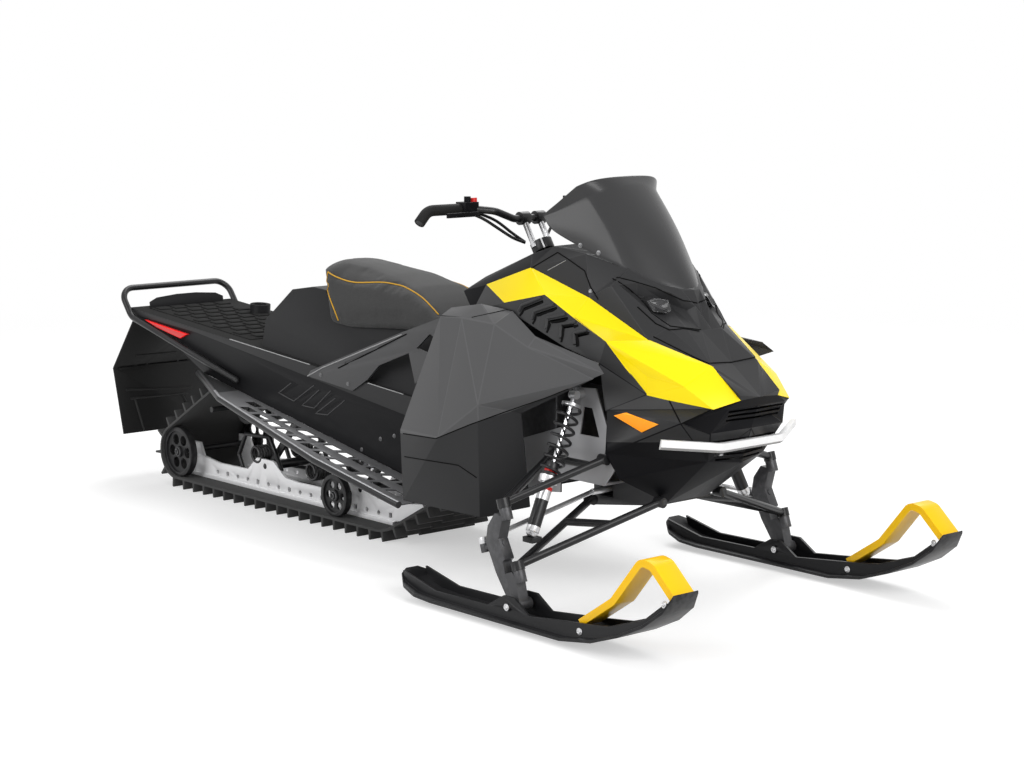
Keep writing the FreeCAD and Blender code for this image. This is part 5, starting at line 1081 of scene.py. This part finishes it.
@dataclass
class Saddle(Assembly):
    """The padded seat: a crowned cushion swelled by cloth pressure, piped in amber, on its shell."""

    tops: tuple = ((-826, 714), (-860, 737), (-900, 764), (-945, 788), (-1002, 812), (-1145, 843),
                   (-1300, 861), (-1400, 868), (-1450, 866), (-1478, 854))
    bottoms: tuple = ((-826, 692), (-1000, 684), (-1254, 664), (-1400, 670), (-1478, 680))
    pipes: tuple = ((-826, 708), (-860, 728), (-909, 758), (-994, 790), (-1129, 812), (-1264, 814),
                    (-1359, 824), (-1417, 836), (-1478, 840))
    halves: tuple = ((-826, 146), (-994, 134), (-1264, 134), (-1417, 129), (-1450, 122), (-1478, 108))
    foot_half: float = 170.0
    lean: float = 98.0
    lean_start: float = -1280.0
    slices: int = 40
    voxel: float = 0.006
    pressure: float = 4.0
    frames: int = 16
    cap: float = 0.005
    rounding: int = 7
    channel: float = 0.014
    depth: float = 0.0035
    piping: float = 2.2
    forward: tuple = ((-1417, 129, 835), (-1359, 133, 822), (-1264, 136, 814), (-1129, 132, 825),
                      (-1042, 132, 824), (-994, 132, 816), (-909, 142, 794), (-826, 148, 751))
    down: tuple = ((-1417, 129, 835), (-1409, 142, 795), (-1368, 156, 752), (-1325, 168, 712),
                   (-1306, 172, 690))
    shell_moves: tuple = (((-1750, 147, 690), (-1766, 134, 648)), ((-1688, 129, 752), (-1630, 120, 760)),
                          ((-1540, 129, 752), (-1515, 120, 778)), ((-1443, 140, 712), (-1436, 124, 774)),
                          ((-1440, 144, 700), (-1350, 147, 692)))
    shell_reach: float = 4.0

    def build(self) -> None:
        """Builds the shell, and the cushion with its piping on it."""
        self.shell()
        cushion = self.swell(self.loft())
        self.press_seams(cushion)
        shade(cushion, 60.0)
        self.finish(cushion, "saddle", SEAT_TOP, "seat_vinyl", "seat_cushion")
        lines = both(self.forward, self.down)
        self.seams("saddle_piping", cushion, lines, AMBER_THREAD, self.piping, True, 0.6)

    def shell(self) -> None:
        """Shapes and dresses the moulded shell, whose hump closes behind the cushion."""
        shell = node_copy("seat_base")
        moves = [mirrored(pair, side) for side in SIDES for pair in self.shell_moves]
        for vertex in shell.data.vertices:
            for start, end in moves:
                if (vertex.co - start).length < self.shell_reach * MM:
                    vertex.co = end
        round_edges(shell, 16.0, 12.0, 100.0, 4)
        shade(shell, 32.0)
        self.finish(shell, "dressed_seat_base", SEAT_SHELL, "seat_plastic", "seat_base")

    @staticmethod
    def level(table: Sequence[tuple[float, float]], x: float) -> float:
        """Reads a table of places and values.

        Args:
            table: Distances ahead of the ski bolts, from the front, with their values, in millimetres.
            x: A distance ahead of the ski bolts.

        Returns:
            The value there.
        """
        for (front, first), (back, second) in zip(table, table[1:]):
            if back <= x <= front:
                return first + (second - first) * (front - x) / (front - back)
        return table[-1][1] if x < table[-1][0] else table[0][1]

    def ring(self, x: float) -> list[Vector]:
        """One cross-section of the cushion, which leans forward at the back.

        Args:
            x: Its distance ahead of the ski bolts, in millimetres.

        Returns:
            Its points in order.
        """
        top, bottom, pipe, half = [self.level(table, x) for table in
                                   (self.tops, self.bottoms, self.pipes, self.halves)]
        foot = self.foot_half * half / self.halves[1][1]
        crown = top - pipe
        reach = max(0.0, (self.lean_start - x) / (self.lean_start - self.tops[-1][0]))
        outline = [(0.0, bottom), (foot * 0.62, bottom), (foot * 0.96, bottom + 3.0),
                   (foot * 0.99, bottom + 16.0), ((foot + half) / 2 + 7.0, (bottom + pipe) / 2), (half, pipe),
                   (half * 0.83, pipe + crown * 0.50), (half * 0.62, pipe + crown * 0.79),
                   (half * 0.35, pipe + crown * 0.95), (0.0, top)]
        spots = [(x + self.lean * reach ** 1.4 * (top - z) / (top - bottom), y, z) for y, z in outline]
        return mirrored(spots, 1) + mirrored(reversed(spots[1:-1]), -1)

    def loft(self) -> Object:
        """The closed starting form, a little smaller than the finished cushion.

        Returns:
            The form.
        """
        front, back = self.tops[0][0], self.tops[-1][0]
        mesh = bmesh.new()
        rings = [[mesh.verts.new(point) for point in self.ring(front + (back - front) * step / self.slices)]
                 for step in range(self.slices + 1)]
        for first, second in zip(rings, rings[1:]):
            for index in range(len(first)):
                after = (index + 1) % len(first)
                mesh.faces.new((first[index], first[after], second[after], second[index]))
        mesh.faces.new(rings[0])
        mesh.faces.new(list(reversed(rings[-1])))
        bmesh.ops.recalc_face_normals(mesh, faces=mesh.faces)
        data = bpy.data.meshes.new("saddle")
        mesh.to_mesh(data)
        mesh.free()
        return linked(data)

    def swell(self, cushion: Object) -> Object:
        """Rounds the form, lets pressure swell it and caps how far each point moves.

        Args:
            cushion: The starting form.

        Returns:
            The same object.
        """
        apply(cushion, "REMESH", mode="VOXEL", voxel_size=self.voxel)
        apply(cushion, "SMOOTH", iterations=self.rounding, factor=0.5)
        start = [vertex.co.copy() for vertex in cushion.data.vertices]
        only(cushion)
        cloth = cushion.modifiers.new("Cloth", "CLOTH")
        cloth.settings.use_pressure = True
        cloth.settings.uniform_pressure_force = self.pressure
        cloth.settings.quality = 4
        cloth.settings.effector_weights.gravity = 0.0
        cloth.point_cache.frame_start = 1
        cloth.point_cache.frame_end = self.frames
        for step in range(1, self.frames + 1):
            bpy.context.scene.frame_set(step)
        bpy.ops.object.modifier_apply(modifier=cloth.name)
        for vertex, before in zip(cushion.data.vertices, start):
            move = vertex.co - before
            if move.length > self.cap:
                vertex.co = before + move.normalized() * self.cap
        bpy.context.scene.frame_set(1)
        apply(cushion, "SMOOTH", iterations=2, factor=0.5)
        return cushion

    def press_seams(self, cushion: Object) -> None:
        """Presses a shallow channel into the cushion along every piped line.

        Args:
            cushion: The swelled cushion.
        """
        lines = both(self.forward, self.down)
        spots = [where for line in lines for where, _ in onto(cushion, line, 8 * MM, True)]
        for vertex in cushion.data.vertices:
            near = min((vertex.co - spot).length for spot in spots)
            if near < self.channel:
                vertex.co = vertex.co - vertex.normal * self.depth * (1.0 - near / self.channel) ** 2


@dataclass
class Tunnel(Assembly):
    """Tunnel, deck mat, tail plate, side braces, running boards, rear bumper, lamps and flap."""

    wall_half: float = 216.5
    roof_start: float = -500.0
    roof_height: float = 465.1
    roof_slope: float = 0.0825
    roof_normal: float = 0.9
    mat_front: int = -1860
    mat_pitch: float = 62.0
    mat_rows: int = 10
    mat_column: float = 63.0
    mat_half: float = 162.0
    mat_ahead: float = 40.0
    mat_behind: float = 34.0
    mat_sheet: float = 2.4
    bar_size: tuple = (44.0, 50.0, 9.0)
    tail_outline: tuple = ((-158, -2), (-158, 22), (-126, 36), (-40, 43), (40, 43), (126, 36), (158, 22),
                           (158, -2))
    tail_place: float = -2458.0
    tail_lean: float = -0.10
    board_bright: float = -1820.0
    board_normal: float = 0.85
    edge_runs: tuple = ((-1862, -1402), (-1093, -912))
    edge_out: float = 0.5
    recess_rims: tuple = (((-1509, 214, 467), (-1582, 214, 425), (-1496, 214, 408), (-1383, 214, 473)),
                          ((-1354, 214, 461), (-1451, 214, 399), (-1384, 214, 398), (-1292, 214, 466)),
                          ((-1267, 214, 445), (-1377, 214, 381), (-1311, 214, 385), (-1217, 214, 444)))
    brace_groove: tuple = ((-1235, 226, 547), (-883, 226, 691))
    brace_edge: tuple = ((-1402, 226, 503), (-1318, 226, 540), (-1111, 226, 614), (-907, 226, 687))
    flap_x: float = -2610.0
    flap_ledges: tuple = (((-128, 435), (46, 433)), ((-166, 308), (120, 289)), ((-150, 275), (100, 271)),
                          ((-132, 275), (-107, 151)), ((72, 273), (94, 225)))
    wall_bolts: tuple = ((-1330, 226, 514), (-1184, 226, 502), (-1032, 215, 343), (-962, 215, 362),
                         (-1130, 215, 296))

    def build(self) -> None:
        """Builds the tunnel and what it carries."""
        tunnel = self.dress("tunnel", TUNNEL_PAINT, "tunnel", rim=0.6)
        paint(tunnel, BAND_PAINT, lambda middle, normal: abs(middle.y) > self.wall_half)
        paint(tunnel, MAT_RUBBER, lambda middle, normal: normal.z > self.roof_normal)
        braces = self.dress("side_braces", BRACE_GREY, "grey_metal", rim=1.0)
        boards = self.dress("running_boards", BOARD_GLINT, "board", rim=1.0)
        # the front of the boards keeps the paler, more metallic finish as painted glints; the rear takes the
        # darker finish
        cut(boards, place(self.board_bright, 0.0, 0.0), Vector((1.0, 0.0, 0.0)))
        paint(boards, BOARD_DARK, lambda middle, normal: middle.x < self.board_bright)
        paint(boards, TUBE_BLACK, lambda middle, normal: abs(normal.z) < self.board_normal, edges=True)
        self.deck_mat()
        self.dress("rear_bumper", TUBE_BLACK, "black_tube", rim=0.0, smooth=50.0)
        self.dress("tail_lamps", RED_LENS, "red_lens", rim=2.0)
        flap = self.dress("snow_flap", FLAP_RUBBER, "flap", rim=1.5)
        # light grey cords along the roof's edges: painted highlights
        edges = [cord([self.roof(x, (self.wall_half + self.edge_out) * side) for x in run], 1.6)
                 for run in self.edge_runs for side in SIDES]
        self.finish(join(edges), "tunnel_edges", HIGHLIGHT_GREY)
        # dim grey cords round the wall's recesses: painted highlights on their rims
        self.seams("recess_rims", tunnel, both(*self.recess_rims), HIGHLIGHT_DIM, 1.7, away=LEVEL)
        # light grey cords along the braces' top edges: painted highlights
        self.seams("brace_edges", braces, both(self.brace_edge), HIGHLIGHT_GREY, 1.9, away=LEVEL)
        # near-black cords in the braces' grooves: painted shade
        self.seams("brace_groove_shade", braces, both(self.brace_groove), GAP_DARK, 2.2, away=LEVEL)
        # the ribs are cords in a paler colour than the flap: painted highlights
        ribs = [[place(self.flap_x, y, z) for y, z in line] for line in self.flap_ledges]
        self.seams("flap_ribs", flap, ribs, FLAP_RIB_HIGHLIGHT, 4.0, away=AHEAD)
        spots = [(spot, Vector((0.0, side, 0.0)))
                 for side in SIDES for spot in mirrored(self.wall_bolts, side)]
        self.bolts("tunnel_bolts", spots, 7.0, 4.0)

    def roof(self, x: float, y: float) -> Vector:
        """A place on the tunnel's roof."""
        return place(x, y, self.roof_height + (self.roof_start - x) * self.roof_slope)

    def deck_mat(self) -> None:
        """Lays the ribbed rubber mat on the roof, with the upright plate at its rear end."""
        tilt = Matrix.Rotation(math.atan(self.roof_slope), 4, "Y")
        bar = primitive("cube", size=1.0, location=(0.0, 0.0, self.bar_size[2] / 4 * MM),
                        scale=[side * MM for side in self.bar_size])
        settle(bar)
        round_edges(bar, 3.0)
        rear = self.mat_front - self.mat_pitch * (self.mat_rows - 1)
        moves = []
        for row in range(self.mat_rows):
            for column in range(-2, 3):
                y = self.mat_column * (column + row % 2 / 2)
                if abs(y) < self.mat_half - self.bar_size[1] / 2:
                    moves.append(Matrix.Translation(self.roof(rear + self.mat_pitch * row, y)) @ tilt)
        front, back = self.mat_front + self.mat_ahead, rear - self.mat_behind
        corners = ((front, -1), (front, 1), (back, 1), (back, -1))
        lift = Vector((0.0, 0.0, self.mat_sheet / 2 * MM))
        outline = [self.roof(x, side * self.mat_half) + lift for x, side in corners]
        mat = join([copies(bar, moves), plate(outline, self.mat_sheet, 0.8)])
        shade(mat, 40.0)
        self.finish(mat, "deck_mat", MAT_RUBBER)
        foot = self.roof(self.tail_place, 0.0)
        outline = [foot + Vector((self.tail_lean * z, y, z)) * MM for y, z in self.tail_outline]
        tail = plate(outline, 5.0, 1.8)
        shade(tail, 40.0)
        self.finish(tail, "tail_plate", SEAT_SHELL)


@dataclass
class Skid(Assembly):
    """Track, slide rails, wheels, arms and shock of the rear suspension."""

    wheel_radii: tuple = (("rear_idlers", 89.0), ("bogie_wheels", 70.0))
    hub_inset: float = 2.0
    rocker: tuple = ((-1990, 100, 150), (-1945, 100, 226), (-1800, 100, 232), (-1735, 100, 128),
                     (-1765, 100, 96), (-1958, 100, 88), (-1990, 100, 150))
    rail_bar_top: float = 34.0
    coil_spots: tuple = ((-1868, 84, 165), (-1545, 84, 150))
    coil_radius: float = 27.0
    coil_wire: float = 5.0
    coil_pitch: float = 11.0
    coil_turns: int = 6
    coil_steps: int = 16

    def build(self) -> None:
        """Dresses the rear suspension and adds its hubs, rockers and torsion springs."""
        self.hubs()
        self.finish(join([cord(line, 8.0) for line in both(self.rocker)]), "rockers", TUBE_BLACK)
        coils = [self.coil(mirrored([spot], side)[0]) for spot in self.coil_spots for side in SIDES]
        self.finish(join(coils), "torsion_springs", SPRING_BLACK)
        self.dress("track", TRACK_RUBBER, "track_rubber", rim=1.5)
        for node in ("rear_idlers", "bogie_wheels", "top_wheels", "drive_axle"):
            self.dress(node, WHEEL_BLACK, "wheel", rim=1.5)
        rails = self.dress("slide_rails", RAIL_METAL, "rail", rim=1.0)
        paint(rails, JAW_BLACK, lambda middle, normal: middle.z < self.rail_bar_top)
        self.dress("skid_arms", TUBE_BLACK, "black_tube", rim=1.0)
        self.dress("skid_shock", ZINC, "steel", rim=1.0)

    def hubs(self) -> None:
        """Caps the wheels' hubs with dished washers and bolts."""
        spots = []
        for node, radius in self.wheel_radii:
            low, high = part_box(node)
            out, height = high[1] - self.hub_inset * MM, (low[2] + high[2]) / 2
            for x in {round(low[0] + radius * MM, 4), round(high[0] - radius * MM, 4)}:
                spots += [(Vector((x, out * side, height)), Vector((0.0, side, 0.0))) for side in SIDES]
        self.bolts("wheel_bolts", spots, 15.0, 9.0)

    def coil(self, centre: Vector) -> Object:
        """Winds one torsion spring beside the rails.

        Args:
            centre: Its middle.

        Returns:
            The spring.
        """
        points = []
        for step in range(self.coil_turns * self.coil_steps + 1):
            turn = step / self.coil_steps
            around = Vector((math.cos(2 * math.pi * turn), 0.0, math.sin(2 * math.pi * turn)))
            slide = Vector((0.0, (turn - self.coil_turns / 2) * self.coil_pitch * MM, 0.0))
            points.append(centre + around * self.coil_radius * MM + slide)
        return cord(points, self.coil_wire)


@dataclass
class FrontEnd(Assembly):
    """Front frame, engine, arms, shocks with springs, spindles and tie rods."""

    cradle_front: float = -260.0
    cradle_top: float = 345.0
    nib: Spot = (-43.3, 518.0, 174.8)
    nib_shift: Spot = (-6.0, 0.0, 3.0)
    nib_radius: float = 2.0
    shock_top: Spot = (-100.0, 248.0, 597.0)
    shock_foot: Spot = (-75.0, 428.0, 234.0)
    shock_cuts: tuple = (0.12, 0.5, 0.545, 0.57, 0.60, 0.675, 0.70, 0.77, 0.96)
    shock_bands: tuple = ((SATIN_SILVER, math.inf, ((-1.0, 0.085), (0.60, 0.77), (0.96, 2.0))),
                          (CHROME, 12.0, ((0.085, 0.5),)),
                          (RED_PAINT, math.inf, ((0.545, 0.57), (0.675, 0.70))))

    def build(self) -> None:
        """Builds the front suspension and frame."""
        front = self.dress("front_frame", FRAME_GREY, "grey_metal", rim=1.0)
        paint(front, CRADLE_DARK, lambda middle, normal:
                   middle.x < self.cradle_front or middle.z < self.cradle_top, edges=True)
        self.dress("engine_block", FORGED_GREY, "engine", rim=4.0)
        for node in ("upper_arms", "lower_arms"):
            self.dress(node, TUBE_BLACK, "black_tube", rim=0.0)
        self.dress("front_springs", TUBE_BLACK, "spring", rim=0.0, smooth=50.0)
        self.dress("tie_rods", SATIN_SILVER, "steel", rim=1.0)
        for side in ("left", "right"):
            self.blunt(self.dress("spindle_" + side, FORGED_GREY, "spindle_metal"))
        self.shocks()

    def blunt(self, spindle: Object) -> None:
        """Sets back the corner over the lower joint, which would graze the lower arm at full lock.

        Args:
            spindle: The dressed spindle.
        """
        corner = place(*self.nib)
        for vertex in spindle.data.vertices:
            away = vertex.co - corner
            if math.hypot(away.x, away.z) < self.nib_radius * MM:
                vertex.co += Vector(self.nib_shift) * MM

    def along(self, middle: Vector) -> tuple[float, float]:
        """Where a place is along a shock.

        Args:
            middle: The place, in millimetres from the ski bolts.

        Returns:
            Its share of the shock's length and its distance from the shock's axis.
        """
        top, foot = Vector(self.shock_top), Vector(self.shock_foot)
        spot = Vector((middle.x, abs(middle.y), middle.z))
        share = (spot - top).dot(foot - top) / (foot - top).length_squared
        return share, (spot - top.lerp(foot, share)).length

    def shocks(self) -> None:
        """Dresses the shocks in bands of black, chrome, red and silver."""
        shocks = self.dress("front_shocks", TUBE_BLACK, "steel")
        for side in SIDES:
            top, foot = mirrored((self.shock_top, self.shock_foot), side)
            for share in self.shock_cuts:
                cut(shocks, top.lerp(foot, share), foot - top, side)
        for finish, most, spans in self.shock_bands:

            def inside(middle: Vector, normal: Vector) -> bool:
                """Whether a place is in one of the spans and near enough to the axis."""
                share, reach = self.along(middle)
                return reach < most and any(low < share < high for low, high in spans)

            paint(shocks, finish, inside)
        shade(shocks, 40.0)


@dataclass
class Skis(Assembly):
    """Skis with their wear bars, loops and bolts."""

    ski_half: float = 535.0
    screw_reach: float = 90.0
    screws: tuple = ((284.0, 48.0), (596.0, 180.0), (0.0, 60.0))

    def build(self) -> None:
        """Builds both skis."""
        for side, word in zip(SIDES, ("left", "right")):
            ski = self.dress("ski_" + word, SKI_BLACK, "ski_plastic", rim=1.8)
            self.dress("wear_bar_" + word, ZINC, "steel", rim=1.0)
            self.dress("ski_loop_" + word, LOOP_YELLOW, "yellow", rim=9.0)
            spots = []
            for x, z in self.screws:
                for way in SIDES:
                    reach = mirrored([(x, self.ski_half + self.screw_reach * way, z)], side)
                    spots += onto(ski, reach, SINGLE, away=(0.0, way, 0.0))
            self.bolts("ski_screws_" + word, spots, 10.0, 5.0, Body["SKI_" + word.upper()], SATIN_SILVER)


@dataclass
class Controls(Assembly):
    """Handlebar, grips, stop button, levers and cables."""

    clamp_reach: tuple = (20.0, 42.0)
    clamp_heights: tuple = (985.0, 1034.0)
    button_ends: tuple = ((-605, -190, 1098), (-607, -190, 1121))
    cable_runs: tuple = (
        ((-604, -214, 1084), (-596, -170, 1072), (-584, -120, 1050), (-566, -72, 1012), (-545, -40, 985)),
        ((-606, -208, 1078), (-590, -165, 1058), (-574, -120, 1028), (-556, -80, 1000), (-540, -44, 984)),
        ((-604, 214, 1084), (-592, 168, 1066), (-580, 116, 1046), (-562, 70, 1008), (-543, 38, 985)),
    )

    def build(self) -> None:
        """Builds the controls."""
        bar = self.dress("handlebar", TUBE_BLACK, "black_tube", rim=1.0)
        near, far = self.clamp_reach
        low, high = self.clamp_heights
        paint(bar, SATIN_SILVER,
                   lambda middle, normal: near < abs(middle.y) < far and low < middle.z < high)
        self.dress("hand_grips", GRIP_RUBBER, "rubber", rim=1.0)
        self.dress("bar_controls", JAW_BLACK, "black_plastic", rim=3.0)
        button = drum(*mirrored(self.button_ends, 1), 11.0, 2.5)
        shade(button, 40.0)
        self.finish(button, "stop_button", RED_PAINT, body=Body.HANDLEBAR)
        cables = join([cord(mirrored(run, 1), 4.6, True) for run in self.cable_runs])
        self.finish(cables, "bar_cables", TUBE_BLACK, body=Body.HANDLEBAR)


@dataclass
class Studio:
    """Pale floor, soft lamps, white backdrop and the camera at the photograph's angle."""

    azimuth: float = 48.878
    elevation: float = 8.621
    camera_place: Spot = (4488.0, -4486.0, 1574.0)
    focal_px: float = 2250.0
    picture_px: float = 1024.0
    sensor: float = 36.0
    floor_half: float = 40.0
    floor_tone: float = 0.62
    floor_glow: float = 0.48
    fade_start: float = 2.6
    fade_end: float = 7.0
    lamps: tuple = (
        ("lamp_over", (-2.0, 2.6, 5.5), (0.0, 0.0, 0.4), 4.5, 260.0),
        ("lamp_front", (6.0, -1.0, 3.2), (0.6, 0.0, 0.5), 3.5, 215.0),
        ("lamp_side", (-0.5, -6.0, 3.6), (0.0, 0.0, 0.5), 4.0, 185.0),
    )
    world_light: float = 0.42
    white: Colour = (1.0, 1.0, 1.0)

    def build(self) -> None:
        """Sets the studio up."""
        self.camera()
        self.floor()
        self.world()
        for name, spot, aim, size, power in self.lamps:
            self.lamp(name, Vector(spot), Vector(aim), size, power)
        bpy.context.scene.view_settings.view_transform = "Standard"

    def camera(self) -> None:
        """Adds the camera."""
        data = bpy.data.cameras.new("camera")
        data.sensor_width = self.sensor
        data.lens = self.focal_px / self.picture_px * self.sensor
        data.clip_end = 100.0
        camera = linked(data)
        turn, lift = math.radians(self.azimuth), math.radians(self.elevation)
        back = Vector((math.sin(turn) * math.cos(lift), -math.cos(turn) * math.cos(lift), math.sin(lift)))
        camera.location = place(*self.camera_place)
        camera.rotation_euler = (-back).to_track_quat("-Z", "Y").to_euler()
        bpy.context.scene.camera = camera

    def seen_ray(self, tree: Tree) -> NodeSocket:
        """A mask of camera, glossy and transmission rays.

        Args:
            tree: The nodes that it is added to.

        Returns:
            The mask.
        """
        path = tree.add("LightPath").outputs
        first = tree.math("MAXIMUM", path["Is Camera Ray"], path["Is Glossy Ray"])
        return tree.math("MAXIMUM", first, path["Is Transmission Ray"])

    def floor(self) -> None:
        """Adds the pale floor, which keeps the machine's soft shadow and fades to white far off."""
        floor = primitive("plane", size=2 * self.floor_half)
        floor.name = "studio_floor"
        material = bpy.data.materials.new("studio_floor")
        material.use_nodes = True
        tree = Tree(material.node_tree)
        matt = tree.add("BsdfDiffuse", Color=(self.floor_tone,) * 3)
        glow = tree.add("Emission", Color=self.white, Strength=self.floor_glow)
        lit = tree.add("AddShader", n0=matt.outputs[0], n1=glow.outputs[0])
        white = tree.add("Emission", Color=self.white, Strength=1.0)
        away = tree.add("VectorMath", {"operation": "LENGTH"}, n0=tree.add("TexCoord").outputs["Object"])
        fade = tree.ramp(away.outputs["Value"], self.fade_start, self.fade_end, "SMOOTHSTEP")
        near = tree.add("MixShader", n0=fade, n1=lit.outputs[0], n2=white.outputs[0])
        mix = tree.add("MixShader", n0=self.seen_ray(tree), n1=matt.outputs[0], n2=near.outputs[0])
        tree.add("OutputMaterial", Surface=mix.outputs[0])
        floor.data.materials.append(material)

    def world(self) -> None:
        """White to the camera, plain soft light to the machine."""
        world = bpy.data.worlds.new("studio")
        bpy.context.scene.world = world
        world.use_nodes = True
        tree = Tree(world.node_tree)
        seen = tree.add("Background", Color=self.white, Strength=1.0)
        light = tree.add("Background", Color=self.white, Strength=self.world_light)
        mix = tree.add("MixShader", n0=self.seen_ray(tree), n1=light.outputs[0], n2=seen.outputs[0])
        tree.add("OutputWorld", Surface=mix.outputs[0])

    def lamp(self, name: str, spot: Vector, aim: Vector, size: float, power: float) -> None:
        """Adds one square soft lamp.

        Args:
            name: Its name.
            spot: Its place, in metres.
            aim: The place that it points at.
            size: Its side in metres.
            power: Its power in watts.
        """
        data = bpy.data.lights.new(name, "AREA")
        data.size = size
        data.energy = power
        lamp = linked(data)
        lamp.location = spot
        lamp.rotation_euler = (aim - spot).to_track_quat("-Z", "Y").to_euler()


def main() -> None:
    """Builds every sub-assembly in order."""
    logging.basicConfig(level=logging.INFO, format="%(message)s")
    bpy.ops.object.select_all(action="DESELECT")
    for builder in (Studio(), Cowl(), Saddle(), Tunnel(), Skid(), FrontEnd(), Skis(), Controls()):
        LOG.info("building %s", type(builder).__name__)
        builder.build()


if __name__ == "__main__":
    main()
